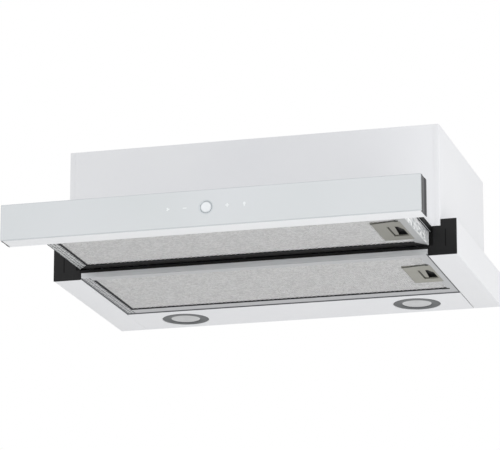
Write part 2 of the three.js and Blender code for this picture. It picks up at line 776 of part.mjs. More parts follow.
function motorFace() {
  return -scrollHalfWidth - 2 * seatGap - bracketThickness;
}

function fanShaft() {
  return rod('x', shaftRadius, [fanY, fanZ], motorFace() - shaftInMotor, hubHalfLength + 2, 24);
}

function fanMotor() {
  const face = motorFace();
  const can = rod('x', motorRadius, [fanY, fanZ], face - motorLength, face, 40);
  const boss = rod('x', motorBossRadius, [fanY, fanZ], face - motorLength - motorBossLength, face, 24);
  const bore = rod('x', shaftRadius + seatGap, [fanY, fanZ], face - shaftInMotor - seatGap, face + 1, 24);
  return cut(join(can, boss), bore);
}

// Spider across the scroll's inlet that carries the motor.
function motorBracket() {
  const x1 = -scrollHalfWidth - seatGap;
  const x0 = x1 - bracketThickness;
  const hub = rod('x', bracketHub, [fanY, fanZ], x0, x1, 32);
  const arms = [90, 210, 330].map((degrees) => {
    const angle = THREE.MathUtils.degToRad(degrees);
    const along = [Math.cos(angle), Math.sin(angle)];
    const across = [-Math.sin(angle) * bracketArm * 0.5, Math.cos(angle) * bracketArm * 0.5];
    const reach = inletRadius + bracketReach;
    return bar('x', [
      [fanY - across[0], fanZ - across[1]],
      [fanY + along[0] * reach - across[0], fanZ + along[1] * reach - across[1]],
      [fanY + along[0] * reach + across[0], fanZ + along[1] * reach + across[1]],
      [fanY + across[0], fanZ + across[1]],
    ], x0, x1);
  });
  const bore = rod('x', shaftRadius + seatGap, [fanY, fanZ], x0 - 1, x1 + 1, 24);
  return cut(join(hub, ...arms), bore);
}

// ---------------------------------------------------------------- outlet

function flangeBase() {
  return boxTop + seatGap;
}

function pinHeight() {
  return flangeBase() + collarFlangeThickness + seatGap + flapThickness / 2;
}

function screwPlaces() {
  const radius = collarRadius + collarFlange / 2;
  return [45, 135, 225, 315].map((degrees) => {
    const angle = THREE.MathUtils.degToRad(degrees);
    return [radius * Math.cos(angle), collarY + radius * Math.sin(angle)];
  });
}

function screwHoles(z0, z1) {
  return screwPlaces().map((place) => rod('z', screwRadius + seatGap, place, z0, z1, 12));
}

function outletCollar() {
  const base = flangeBase();
  const inner = collarRadius - collarWall;
  const tube = rod('z', collarRadius, [0, collarY], base, collarTop, 64);
  const flange = rod('z', collarRadius + collarFlange, [0, collarY], base, base + collarFlangeThickness, 64);
  const bore = rod('z', inner, [0, collarY], base + collarFlangeThickness, collarTop + 1, 64);
  const mouth = rod('z', outletRadius, [0, collarY], base - 1, base + collarFlangeThickness + 1, 64);
  const past = collarRadius + 1;
  const pinHole = rod('x', pinRadius + seatGap, [collarY, pinHeight()], -past, past, 16);
  const screws = screwHoles(base - 1, base + collarFlangeThickness + 1);
  return cut(join(tube, flange), bore, mouth, pinHole, ...screws);
}

function damperPin() {
  return rod('x', pinRadius, [collarY, pinHeight()], -collarRadius, collarRadius, 16);
}

// Half-round flap with its own knuckles on the pin and gaps for the other flap's.
function damperFlap(side) {
  const z = pinHeight();
  const radius = collarRadius - collarWall - flapGap;
  const inner = pinRadius + seatGap;
  const outer = inner + knuckleWall;
  const low = z - flapThickness / 2;
  const disc = rod('z', radius, [0, collarY], low, low + flapThickness, 64);
  const start = outer + flapPinGap;
  const over = low + flapThickness + 1;
  const otherHalf = side > 0
    ? block(-radius - 1, radius + 1, collarY - radius - 1, collarY + start, low - 1, over)
    : block(-radius - 1, radius + 1, collarY - start, collarY + radius + 1, low - 1, over);
  const offset = side > 0 ? 0 : knuckleLength + knuckleGap;
  const knuckles = knuckleStarts.map((x) => {
    const a = x + offset;
    const sleeve = rod('x', outer, [collarY, z], a, a + knuckleLength, 20);
    const web = side > 0
      ? block(a, a + knuckleLength, collarY, collarY + start + 1, low, low + flapThickness)
      : block(a, a + knuckleLength, collarY - start - 1, collarY, low, low + flapThickness);
    return join(sleeve, web);
  });
  const bore = rod('x', inner, [collarY, z], -radius, radius, 16);
  return cut(join(cut(disc, otherHalf), ...knuckles), bore);
}

// ---------------------------------------------------------------- lamps

function lampBezel(x) {
  const rimBase = sheet + seatGap;
  const top = Math.max(lampRecess + bezelThickness, rimBase + 1);
  const face = rod('z', lampRadius, [x, lampY], lampRecess, top, 48);
  const rim = rod('z', lampRadius + bezelRim, [x, lampY], rimBase, top, 48);
  const bore = rod('z', lensRadius + seatGap, [x, lampY], lampRecess - 1, top + 1, 48);
  return cut(join(face, rim), bore);
}

function lampLens(x) {
  const low = lampRecess + lensRecess;
  return rod('z', lensRadius, [x, lampY], low, low + lensThickness, 48);
}

function lampBody(x) {
  const base = Math.max(lampRecess + bezelThickness, sheet + seatGap + 1) + seatGap;
  return rod('z', lampBodyRadius, [x, lampY], base, base + lampBodyHeight, 36);
}

// ---------------------------------------------------------------- electrics

function terminalCase() {
  const { fromSide, y, width, depth, height } = terminalBox;
  const x = halfBox - fromSide - width;
  const high = topUnderside - seatGap;
  const outer = block(x, x + width, y, y + depth, high - height, high);
  const hollow = block(x + terminalWall, x + width - terminalWall, y + terminalWall,
    y + depth - terminalWall, high - height + terminalWall, high + 1);
  return cut(outer, hollow);
}

function lampDriver() {
  const { width, depth, height } = driverBox;
  const base = sheet + seatGap;
  return block(-width / 2, width / 2, lampY - depth / 2, lampY + depth / 2, base, base + height);
}

function runCapacitor() {
  const z = topUnderside - seatGap - capacitorRadius;
  const start = -halfBox + capacitorFromSide;
  const end = start + capacitorLength;
  const can = rod('x', capacitorRadius, [capacitorY, z], start, end, 28);
  const stud = rod('x', capacitorStud.radius, [capacitorY, z], end - 1, end + capacitorStud.length, 12);
  return join(can, stud);
}

// Switch on the channel's shelf, beside the right runner's end.
function drawerSwitch() {
  const { width, depth, height } = switchBox;
  const right = halfBox - 2 * sheet - 2 * seatGap;
  const base = runnerTop + slideGap + sheet + seatGap;
  const back = trayDepth - runnerEndGap - switchFromEnd;
  return block(right - width, right, back - depth, back, base, base + height);
}

function cableGland() {
  const place = [glandX, glandY];
  const body = rod('z', glandRadius, place, topUnderside - glandHeight, boxTop + 1, 24);
  const flange = rod('z', glandFlange, place, boxTop + seatGap, boxTop + glandHeight, 24);
  const bore = rod('z', glandBore, place, topUnderside - glandHeight - 1, boxTop + glandHeight + 1, 16);
  return cut(join(body, flange), bore);
}

// ---------------------------------------------------------------- assembly

const sides = [['left', -1], ['right', 1]];

addPiece('front_panel', frontPanel(), paint);
for (const [word, side] of sides) addPiece(`side_panel_${word}`, sidePanel(side), paint);
addPiece('back_panel', backPanel(), paint);
addPiece('top_plate', topPlate(), paint);
for (const [word, side] of sides) addPiece(`tray_side_${word}`, traySide(side), paint);
addPiece('tray_rear', trayRear(), paint);
addPiece('lamp_panel', lampPanel(), paint);
for (const [word, side] of sides) addPiece(`guide_cap_${word}`, guideCap(side), blackPlastic);
addPiece('cross_bar', crossBar(), blackPlastic);
for (const [word, side] of sides) addPiece(`slide_channel_${word}`, slideChannel(side), galvanised);

for (const [word, side] of sides) addPiece(`runner_${word}`, runner(side), blackPlastic);
for (const [word, side] of sides) addPiece(`drawer_side_${word}`, drawerSide(side), galvanised);
addPiece('drawer_cover', drawerCover(), paint);
addPiece('drawer_front_rail', drawerFrontRail(), galvanised);

addPiece('fascia_profile', fasciaProfile(), paint);
addPiece('fascia_glass', fasciaGlass(), whiteGlass);
for (const [word, side] of sides) addPiece(`fascia_end_cap_${word}`, fasciaEndCap(side), greyPlastic);
addPiece('control_frame', controlFrame(), blackPlastic);
addPiece('control_board', controlBoard(), boardGreen);
addPiece('button_ring', buttonRing(), ringMetal);
addPiece('power_button', powerButton(), buttonWhite);

const rearStart = filterGap;
const frontStart = frontFilterStart();
const frontTabs = { rise: frontTabRise, reach: frontTabReach };
addPiece('front_filter_frame', filterFrame(frontStart, frontFilterDepth, drawerBase, filterBorder,
  frontTabs, true), aluminium);
addPiece('front_filter_pad', filterPad(frontStart, frontFilterDepth, drawerBase, sealDepth), meshPad);
addPiece('front_filter_seal', filterSeal(frontStart, frontFilterDepth, drawerBase), blackPlastic);
addPiece('front_latch_plate', latchPlate(frontStart, drawerBase), latchPlastic);
addPiece('front_latch_slider', latchSlider(frontStart, drawerBase), latchPlastic);
addPiece('front_latch_spring', latchSpring(frontStart, drawerBase), steel);
const rearTabs = { rise: rearTabRise, reach: rearTabReach };
const rearBase = rearFilterRecess;
addPiece('rear_filter_frame', filterFrame(rearStart, rearFilterDepth, rearBase, filterRearBorder,
  rearTabs, false), aluminium);
addPiece('rear_filter_pad', filterPad(rearStart, rearFilterDepth, rearBase, filterRearBorder), meshPad);
addPiece('rear_latch_plate', latchPlate(rearStart, rearBase), latchPlastic);
addPiece('rear_latch_slider', latchSlider(rearStart, rearBase), latchPlastic);
addPiece('rear_latch_spring', latchSpring(rearStart, rearBase), steel);

for (const [word, side] of sides) addPiece(`scroll_${word}`, scrollHalf(side), greyPlastic);
addPiece('impeller', impeller(), greyPlastic);
addPiece('fan_shaft', fanShaft(), steel);
addPiece('fan_motor', fanMotor(), galvanised);
addPiece('motor_bracket', motorBracket(), galvanised);

addPiece('outlet_collar', outletCollar(), greyPlastic);
addPiece('damper_pin', damperPin(), steel);
addPiece('damper_flap_front', damperFlap(-1), greyPlastic);
addPiece('damper_flap_rear', damperFlap(1), greyPlastic);

for (const [word, side] of sides) {
  addPiece(`lamp_bezel_${word}`, lampBezel(side * lampX), bezelGrey);
  addPiece(`lamp_lens_${word}`, lampLens(side * lampX), lensPlastic);
  addPiece(`lamp_body_${word}`, lampBody(side * lampX), galvanised);
}

addPiece('terminal_box', terminalCase(), whitePlastic);
addPiece('lamp_driver', lampDriver(), whitePlastic);
addPiece('capacitor', runCapacitor(), whitePlastic);
addPiece('drawer_switch', drawerSwitch(), blackPlastic);
addPiece('cable_gland', cableGland(), blackPlastic);

// Origin at the middle of the whole hood's underside, drawer out.
hood.position.y = -(trayDepth + fasciaFront) / 2;

export default hood;
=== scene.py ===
import json
import math

import bmesh
import bpy
import numpy as np
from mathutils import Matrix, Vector

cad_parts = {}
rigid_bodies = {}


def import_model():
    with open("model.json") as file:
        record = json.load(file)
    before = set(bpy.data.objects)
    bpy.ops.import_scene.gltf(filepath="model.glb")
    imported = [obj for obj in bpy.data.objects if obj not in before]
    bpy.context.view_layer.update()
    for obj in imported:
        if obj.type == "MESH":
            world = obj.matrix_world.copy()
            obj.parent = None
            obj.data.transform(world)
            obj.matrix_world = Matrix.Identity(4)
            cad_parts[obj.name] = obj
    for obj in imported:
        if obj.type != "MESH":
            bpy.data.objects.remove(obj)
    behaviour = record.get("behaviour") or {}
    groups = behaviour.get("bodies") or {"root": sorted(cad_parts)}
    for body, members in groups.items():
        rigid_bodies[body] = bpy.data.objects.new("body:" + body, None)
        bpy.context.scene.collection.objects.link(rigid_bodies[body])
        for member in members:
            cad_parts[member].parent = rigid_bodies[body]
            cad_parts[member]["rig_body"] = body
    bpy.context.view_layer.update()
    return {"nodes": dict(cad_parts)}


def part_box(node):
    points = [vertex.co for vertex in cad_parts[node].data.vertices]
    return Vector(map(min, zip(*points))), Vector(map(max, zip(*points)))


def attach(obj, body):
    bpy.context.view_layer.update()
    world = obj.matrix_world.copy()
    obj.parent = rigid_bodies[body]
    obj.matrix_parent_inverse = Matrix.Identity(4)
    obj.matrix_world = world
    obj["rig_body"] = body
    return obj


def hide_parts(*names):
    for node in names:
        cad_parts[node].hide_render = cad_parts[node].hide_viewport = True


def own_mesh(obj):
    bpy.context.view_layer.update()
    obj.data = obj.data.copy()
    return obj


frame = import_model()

scene = bpy.context.scene
mm = 0.001
seatGap = 0.3 * mm   # what the solids leave between touching pieces
weld = 0.002 * mm    # points nearer than this become one
sides = (("left", -1), ("right", 1))
print("frame loaded:", len(frame["nodes"]), "nodes")


# ---- small helpers

def metres(lengths):
    # a piece's lengths are written in millimetres, one by one or in rows
    return {name: np.multiply(length, mm).tolist() for name, length in lengths.items()}


def outerInner(node, side):
    # where the node ends in x: away from the hood's middle, then towards it
    low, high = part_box(node)
    return (high.x, low.x) if side > 0 else (low.x, high.x)


def linear(hexText):
    # sRGB hex to linear: ((c + 0.055) / 1.055) ^ 2.4 above 0.04045, c / 12.92 below
    c = np.array([int(hexText[i:i + 2], 16) for i in (1, 3, 5)]) / 255
    return (*np.where(c > 0.04045, ((c + 0.055) / 1.055) ** 2.4, c / 12.92), 1.0)


def add(tree, kind, inputs=None, **settings):
    # one node: its settings, then each input as a value or as a link
    node = tree.nodes.new(kind)
    for name, value in settings.items():
        setattr(node, name, value)
    for name, value in (inputs or {}).items():
        if isinstance(value, bpy.types.NodeSocket):
            tree.links.new(value, node.inputs[name])
        else:
            node.inputs[name].default_value = value
    return node


def startMaterial(name, metallic=0.0, roughness=0.5, ior=1.5, **constants):
    material = bpy.data.materials.new(name)
    material.use_nodes = True
    tree = material.node_tree
    tree.nodes.clear()
    basics = {"Metallic": metallic, "Roughness": roughness, "IOR": ior}
    shader = add(tree, "ShaderNodeBsdfPrincipled", basics)
    for socket, value in constants.items():
        shader.inputs[socket.replace("_", " ")].default_value = value
    add(tree, "ShaderNodeOutputMaterial", {"Surface": shader.outputs["BSDF"]})
    place = add(tree, "ShaderNodeTexCoord").outputs["Object"]
    return material, tree, shader, place


def twoTone(tree, shader, factor, dark, light, low=0.3, high=0.7):
    # base colour between two hex values as the pattern goes from low to high
    share = add(tree, "ShaderNodeMapRange", {"Value": factor, "From Min": low, "From Max": high})
    mix = add(tree, "ShaderNodeMix", {6: linear(dark), 7: linear(light)}, data_type="RGBA")
    tree.links.new(share.outputs[0], mix.inputs[0])
    tree.links.new(mix.outputs[2], shader.inputs["Base Color"])


def relief(tree, shader, height, depth, strength=1.0):
    # depth is the pattern's full height in metres
    bump = add(tree, "ShaderNodeBump", {"Height": height, "Distance": depth, "Strength": strength})
    tree.links.new(bump.outputs[0], shader.inputs["Normal"])


def varyRoughness(tree, shader, factor, low, high):
    share = add(tree, "ShaderNodeMapRange", {"Value": factor, "To Min": low, "To Max": high})
    tree.links.new(share.outputs[0], shader.inputs["Roughness"])


# ---- materials, with the sizes and depths of their patterns in millimetres

def powderCoat(name, dark, light, grain=1.3, cloud=130.0, depth=0.012):
    # baked polyester powder on steel or aluminium: a satin white with a faint orange peel
    material, tree, shader, place = startMaterial(name)
    peel = add(tree, "ShaderNodeTexNoise", {"Vector": place, "Scale": 1 / (grain * mm), "Detail": 1.5})
    broad = add(tree, "ShaderNodeTexNoise", {"Vector": place, "Scale": 1 / (cloud * mm), "Detail": 3.0})
    twoTone(tree, shader, broad.outputs["Fac"], dark, light, 0.2, 0.8)
    varyRoughness(tree, shader, broad.outputs["Fac"], 0.34, 0.42)
    relief(tree, shader, peel.outputs["Fac"], depth * mm)
    return material


def enamelledGlass(dark, light, cloud=170.0, waviness=0.05):
    # toughened float glass, white ceramic enamel fired on its back: cool, even, mirror smooth
    material, tree, shader, place = startMaterial("enamelledGlass", ior=1.52)
    wave = add(tree, "ShaderNodeTexNoise", {"Vector": place, "Scale": 1 / (cloud * mm), "Detail": 1.0})
    twoTone(tree, shader, wave.outputs["Fac"], dark, light)
    varyRoughness(tree, shader, wave.outputs["Fac"], 0.04, 0.09)
    relief(tree, shader, wave.outputs["Fac"], waviness * mm)
    return material


def zincSheet(name, dark, light, spangle=5.0, metallic=0.85, stretch=1.0, depth=0.03):
    # hot dip galvanised sheet: crystals of slightly different grey meet along sharp edges
    material, tree, shader, place = startMaterial(name, metallic=metallic)
    density = 1 / (spangle * mm)
    drawn = (density, density / stretch, density)
    rolled = add(tree, "ShaderNodeMapping", {"Vector": place, "Scale": drawn})
    crystals = add(tree, "ShaderNodeTexVoronoi", {"Vector": rolled.outputs[0], "Scale": 1.0})
    split = add(tree, "ShaderNodeSeparateColor", {"Color": crystals.outputs["Color"]})
    twoTone(tree, shader, split.outputs[0], dark, light, 0.05, 0.95)
    varyRoughness(tree, shader, split.outputs[1], 0.3, 0.5)
    relief(tree, shader, crystals.outputs["Distance"], depth * mm)
    return material


def brushedMetal(name, dark, light, along=(60, 0.7, 0.7), roughness=(0.3, 0.45), metallic=0.9, depth=0.01):
    # mill finish drawn along one way: fine streaks, longer than they are wide
    material, tree, shader, place = startMaterial(name, metallic=metallic)
    density = tuple(1 / (length * mm) for length in along)
    drawn = add(tree, "ShaderNodeMapping", {"Vector": place, "Scale": density})
    streaks = add(tree, "ShaderNodeTexNoise", {"Vector": drawn.outputs[0], "Scale": 1.0, "Detail": 3.0})
    twoTone(tree, shader, streaks.outputs["Fac"], dark, light)
    varyRoughness(tree, shader, streaks.outputs["Fac"], *roughness)
    relief(tree, shader, streaks.outputs["Fac"], depth * mm)
    return material


def stippledFrame(name, body, edge, plainShadeLevel=1.0, pitch=(4.6, 8.0), pitShade="#4A4D4F", grain=2.2, depth=0.12):
    # roll formed aluminium: rows of embossed oval pits left of the edge, each painted dark as its shade,
    # satin mill finish elsewhere, painted darker towards the pit grey as shade where the plain level is
    # below 1
    material, tree, shader, place = startMaterial(name, metallic=0.45)
    axes = add(tree, "ShaderNodeSeparateXYZ", {"Vector": place})
    border = add(tree, "ShaderNodeMath", {0: axes.outputs[0], 1: edge}, operation="LESS_THAN").outputs[0]
    density = (*(1 / (length * mm) for length in pitch), 1)
    rows = add(tree, "ShaderNodeMapping", {"Vector": place, "Scale": density})
    dots = add(tree, "ShaderNodeTexVoronoi", {"Vector": rows.outputs[0], "Scale": 1.0, "Randomness": 0.2},
               voronoi_dimensions="2D")
    pit = add(tree, "ShaderNodeMapRange", {
        "Value": dots.outputs["Distance"], "From Min": 0.26, "From Max": 0.38})
    bare = add(tree, "ShaderNodeMath", {0: border, 1: pit.outputs[0]}, operation="MULTIPLY")
    plain = add(tree, "ShaderNodeMapRange", {"Value": border, "To Min": plainShadeLevel, "To Max": 0.0})
    level = add(tree, "ShaderNodeMath", {0: bare.outputs[0], 1: plain.outputs[0]}, operation="ADD")
    twoTone(tree, shader, level.outputs[0], pitShade, body, 0.0, 1.0)
    fine = add(tree, "ShaderNodeTexNoise", {"Vector": place, "Scale": 1 / (grain * mm), "Detail": 2.0})
    varyRoughness(tree, shader, fine.outputs["Fac"], 0.34, 0.5)
    relief(tree, shader, level.outputs[0], depth * mm, 0.8)
    return material


def mouldedPlastic(name, dark, light, grain=0.8, roughness=(0.42, 0.55), depth=0.03, shine=0.5, cloud=40.0):
    # injection moulded in a spark eroded tool: a fine even grain that softens its shine
    material, tree, shader, place = startMaterial(name, ior=1.49, Specular_IOR_Level=shine)
    fine = add(tree, "ShaderNodeTexNoise", {"Vector": place, "Scale": 1 / (grain * mm), "Detail": 2.0})
    broad = add(tree, "ShaderNodeTexNoise", {"Vector": place, "Scale": 1 / (cloud * mm), "Detail": 2.0})
    twoTone(tree, shader, broad.outputs["Fac"], dark, light)
    varyRoughness(tree, shader, fine.outputs["Fac"], *roughness)
    relief(tree, shader, fine.outputs["Fac"], depth * mm)
    return material


def expandedSheet(name, dark, light, speckle=3.0, depth=0.05):
    # slit and stretched aluminium, tumbled dull: each cell turns a little, so the sheet sparkles softly;
    # the sparkle is painted, each cell a lighter or darker grey
    material, tree, shader, place = startMaterial(name, metallic=0.12)
    cells = add(tree, "ShaderNodeTexVoronoi", {"Vector": place, "Scale": 1 / (speckle * mm)})
    split = add(tree, "ShaderNodeSeparateColor", {"Color": cells.outputs["Color"]})
    twoTone(tree, shader, split.outputs[0], dark, light, 0.1, 0.9)
    varyRoughness(tree, shader, split.outputs[1], 0.38, 0.6)
    relief(tree, shader, cells.outputs["Distance"], depth * mm)
    return material


def solderMaskBoard(dark, light, pitch=14.0, depth=0.03):
    # glass fibre board under green solder mask: straight copper tracks show through as lighter lines
    material, tree, shader, place = startMaterial("solderMaskBoard", roughness=0.3)
    bricks = {"Vector": place, "Scale": 1 / (pitch * mm), "Mortar Size": 0.05}
    tracks = add(tree, "ShaderNodeTexBrick", bricks, offset=0.37)
    twoTone(tree, shader, tracks.outputs["Fac"], dark, light, 0.0, 1.0)
    relief(tree, shader, tracks.outputs["Fac"], depth * mm)
    return material


whitePaint = powderCoat("powderCoatedSteel", "#E5E6E9", "#E9EAEC")
profilePaint = powderCoat("powderCoatedAluminium", "#E8EAEC", "#ECEDEF", 1.0)
glassFront = enamelledGlass("#D5D9DB", "#D9DCDF")
groundEdge = mouldedPlastic("groundGlassEdge", "#BCC2C5", "#C6CBCE", 0.5, (0.3, 0.42), 0.01)
glassSide = mouldedPlastic("darkGlassSide", "#2E3133", "#34383A", 0.5, (0.3, 0.4), 0.01, 0.3)
zinc = zincSheet("galvanisedSteel", "#A9ACAE", "#C9CCCD")
brightZinc = zincSheet("spangledDrawerWall", "#AEB2B4", "#FDFEFE", 3.0, 0.08, 3.5)
# near black painted shade on a sheared edge that lies in a gap
shadedCutEdge = brushedMetal("shearedEdgeInShade", "#2C2E30", "#3C3E40", (12, 0.4, 0.4), (0.5, 0.65), 0.2)
steel = brushedMetal("drawnSteel", "#85888B", "#A3A6A8", (25, 0.5, 0.5))
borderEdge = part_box("rear_filter_pad")[0].x
# the front frame's plain parts are painted darker, 0.24 of the way towards the pit grey, as shade
frontFrameMetal = stippledFrame("stippledFrontFrame", "#CBCDCD", borderEdge, 0.76)
rearFrameMetal = stippledFrame("stippledRearFrame", "#C0C1C3", borderEdge)
frameSide = brushedMetal("rolledFrameSide", "#C8CACC", "#D5D7D9", (40, 0.8, 0.8), (0.4, 0.5), 0.35)
strandMetal = expandedSheet("expandedAluminium", "#DADADA", "#EFEFEF")
coreMetal = expandedSheet("pressedMeshCore", "#D9D9D9", "#E8E8E8", 4.0)
blackPlastic = mouldedPlastic("blackNylon", "#101011", "#151516", shine=0.28)
softBlack = mouldedPlastic("blackRubberSeal", "#111112", "#171718", 1.2, (0.6, 0.75), 0.05, 0.25)
# black nylon painted darker than blackNylon, as shade
shadedBlackNylon = mouldedPlastic("blackNylonInShade", "#070707", "#0B0B0B", 0.8, (0.5, 0.65), 0.03, 0.12)
# grey painted shade for gaps and for a fold that lies in shade
gapShadeGrey = mouldedPlastic("paintedGapShade", "#606265", "#707275", 0.5, (0.75, 0.9), 0.15, 0.2)
# near black painted shade for grooves and for the tray strip's cut edge
grooveShade = mouldedPlastic("paintedGrooveShade", "#28282A", "#343436", 1.5, (0.6, 0.75), 0.05, 0.3)
capPlastic = mouldedPlastic("greyAbs", "#26272A", "#2C2D30", 0.6, (0.45, 0.55), 0.015, 0.25)
# the two paler tones of grey ABS paint the light on the end caps' bands
capLitBand = mouldedPlastic("greyAbsPaintedLight", "#4C4C4F", "#535356", 0.6, (0.45, 0.55), 0.015, 0.25)
capLitEdge = mouldedPlastic("greyAbsPaintedBrightest", "#717275", "#78797C", 0.6, (0.45, 0.55), 0.015, 0.25)
darkPlastic = mouldedPlastic("greyPolypropylene", "#3C3E41", "#46484B", 1.0, (0.4, 0.5))
latchPlastic = mouldedPlastic("warmGreyAcetal", "#8A8980", "#94938A", 0.7, (0.35, 0.48), 0.015)
shadedLatch = mouldedPlastic("warmGreyAcetalInShade", "#7D7C74", "#86857D", 0.7, (0.35, 0.48), 0.015)
# black painted shade for holes, gaps and slots
latchShade = mouldedPlastic("paintedLatchShade", "#0E0E0E", "#141414", 0.7, (0.5, 0.6), shine=0.25)
whitePlastic = mouldedPlastic("whitePolycarbonate", "#D6D6D2", "#DEDEDA", 0.7, (0.3, 0.42), 0.01)
buttonPlastic = mouldedPlastic("glossWhiteAbs", "#E6EAED", "#ECEFF2", 2.5, (0.08, 0.14), 0.004)
buttonRim = mouldedPlastic("satinWhiteAbs", "#C6CCD0", "#CED3D7", 2.5, (0.3, 0.4), 0.004)
markInk = mouldedPlastic("whiteScreenInk", "#E9EDEF", "#EFF2F3", 0.5, (0.4, 0.5), 0.01)
ringMetal = brushedMetal("turnedRing", "#C2C8CB", "#D0D5D8", (0.6, 4, 0.6), (0.3, 0.4), 0.35)
wireSteel = brushedMetal("oxidisedSpringWire", "#3A3B38", "#54554F", (6, 0.5, 0.5), (0.4, 0.55), 0.5)
bezelMetal = brushedMetal("spunBezel", "#585B5D", "#6B6E70", (8, 8, 0.7), (0.35, 0.48))
lensPlastic = mouldedPlastic("frostedAcrylic", "#BDBEBF", "#C6C7C8", 1.5, (0.25, 0.35), 0.02)
lensRim = mouldedPlastic("polishedAcrylicRim", "#DCDDDE", "#E2E3E4", 1.5, (0.15, 0.25), 0.01)
boardGreen = solderMaskBoard("#1D5C39", "#3E8A5C")
print("materials made:", len(bpy.data.materials))


# ---- meshes worked out with numpy

def newPiece(name, data):
    piece = bpy.data.objects.new(name, data)
    scene.collection.objects.link(piece)
    return piece


def gridPiece(name, points, wrapRows=False, wrapColumns=False, caps=False):
    # quads between neighbouring rows and columns of points; caps closes the first and last row
    rows, columns = points.shape[:2]
    i = np.arange(rows if wrapRows else rows - 1)
    j = np.arange(columns if wrapColumns else columns - 1)
    a, b = np.meshgrid(i, j, indexing="ij")
    over, beside = (a + 1) % rows, (b + 1) % columns
    around = ((a, b), (over, b), (over, beside), (a, beside))
    faces = np.stack([row * columns + column for row, column in around], -1).reshape(-1, 4).tolist()
    if caps:
        faces.append(np.arange(columns)[::-1].tolist())
        faces.append((np.arange(columns) + (rows - 1) * columns).tolist())
    mesh = bpy.data.meshes.new(name)
    mesh.from_pydata(points.reshape(-1, 3).tolist(), [], faces)
    return newPiece(name, mesh)


def smooth(mesh, angle=35):
    # round where faces meet below the angle, sharp above it
    mesh.shade_smooth()
    mesh.set_sharp_from_angle(angle=math.radians(angle))


def closeMesh(piece, angle=35):
    # merges doubled points and turns the faces outwards
    form = bmesh.new()
    form.from_mesh(piece.data)
    bmesh.ops.remove_doubles(form, verts=form.verts, dist=weld)
    bmesh.ops.recalc_face_normals(form, faces=form.faces)
    form.to_mesh(piece.data)
    form.free()
    smooth(piece.data, angle)


def dress(piece, material, body, slot, *nodes, bevel=0.0):
    # gives a finished mesh its materials and its body; the slot is not used; the bevel is in millimetres
    if bevel:
        edges = piece.modifiers.new("softEdges", "BEVEL")
        edges.width = bevel * mm
        edges.segments = 2
        edges.limit_method = "ANGLE"
        edges.angle_limit = math.radians(40)
        edges.harden_normals = True
    piece.data.materials.clear()
    for each in material if isinstance(material, tuple) else (material,):
        piece.data.materials.append(each)
    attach(piece, body)
    if nodes:
        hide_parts(*nodes)
    return piece


def toneFaces(piece, choose):
    # choose turns the faces' centres and normals into the number of each face's material
    numbers = np.empty((2, len(piece.data.polygons) * 3))
    piece.data.polygons.foreach_get("center", numbers[0])
    piece.data.polygons.foreach_get("normal", numbers[1])
    tone = choose(*numbers.reshape(2, -1, 3))
    piece.data.polygons.foreach_set("material_index", tone.astype(np.int32))


def toneRim(piece, centre, radius, axes=(0, 2)):
    # faces further from the centre than the radius take the second material
    toneFaces(piece, lambda centres, normals: np.hypot(
        *(centres[:, k] - centre[k] for k in axes)) > radius)


def softened(node, name, material, slot, bevel=0.4):
    # a merged copy of the node's own solid, with its edges rounded off
    source = frame["nodes"][node]
    form = bmesh.new()
    form.from_mesh(source.data)
    bmesh.ops.remove_doubles(form, verts=form.verts, dist=weld)
    bmesh.ops.dissolve_limit(form, angle_limit=math.radians(0.6), verts=form.verts, edges=form.edges)
    mesh = bpy.data.meshes.new(name)
    form.to_mesh(mesh)
    form.free()
    smooth(mesh)
    return dress(newPiece(name, mesh), material, source["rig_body"], slot, node, bevel=bevel)


def rounded(corners, radii, steps=5):
    # each corner P becomes the curve (1-s)^2 A + 2s(1-s) P + s^2 C, with A and C a radius away from P
    corners = np.asarray(corners, float)
    reach = np.broadcast_to(np.asarray(radii, float), len(corners))[:, None]
    back = np.roll(corners, 1, 0) - corners
    ahead = np.roll(corners, -1, 0) - corners
    a = corners + back / np.linalg.norm(back, axis=1, keepdims=True) * reach
    c = corners + ahead / np.linalg.norm(ahead, axis=1, keepdims=True) * reach
    s = np.linspace(0, 1, steps)[None, :, None]
    curve = (1 - s) ** 2 * a[:, None] + 2 * s * (1 - s) * corners[:, None] + s ** 2 * c[:, None]
    return curve.reshape(-1, 2)


def rectangle(x0, x1, y0, y1):
    return [(x0, y0), (x1, y0), (x1, y1), (x0, y1)]


def extruded(name, outline, axis, low, high, edge=0.0):
    # a closed outline carried from low to high along y or z, drawn in by the edge at both ends
    outline = np.asarray(outline, float)
    levels = [(outline, low), (outline, high)]
    if edge:
        middle, half = (outline.max(0) + outline.min(0)) / 2, (outline.max(0) - outline.min(0)) / 2
        small = middle + (outline - middle) * (1 - edge / half)
        levels = [(small, low), (outline, low + edge), (outline, high - edge), (small, high)]
    order = {"y": (0, 2, 1), "z": (0, 1, 2)}[axis]
    rows = [np.column_stack([loop, np.full(len(loop), level)])[:, order] for loop, level in levels]
    piece = gridPiece(name, np.stack(rows), wrapColumns=True, caps=True)
    closeMesh(piece)
    return piece


def turned(name, profile, centre, axis="z", steps=96, ring=False):
    # a profile of (radius, height) turned about y or z: x = r cos t, and r sin t across it
    profile = np.asarray(profile, float)
    t = np.linspace(0, 2 * np.pi, steps, endpoint=False)
    r, h = profile[:, :1], profile[:, 1:] + 0 * t
    u, v = r * np.cos(t), r * np.sin(t)
    points = np.stack((u, h, v) if axis == "y" else (u, v, h), -1) + np.asarray(centre)
    piece = gridPiece(name, points, wrapRows=ring, wrapColumns=True)
    closeMesh(piece)
    return piece


def joined(name, pieces):
    # one mesh from several, each closed by itself
    form = bmesh.new()
    for piece in pieces:
        form.from_mesh(piece.data)
        bpy.data.objects.remove(piece)
    mesh = bpy.data.meshes.new(name)
    form.to_mesh(mesh)
    form.free()
    return newPiece(name, mesh)


# ---- camera, light and surroundings

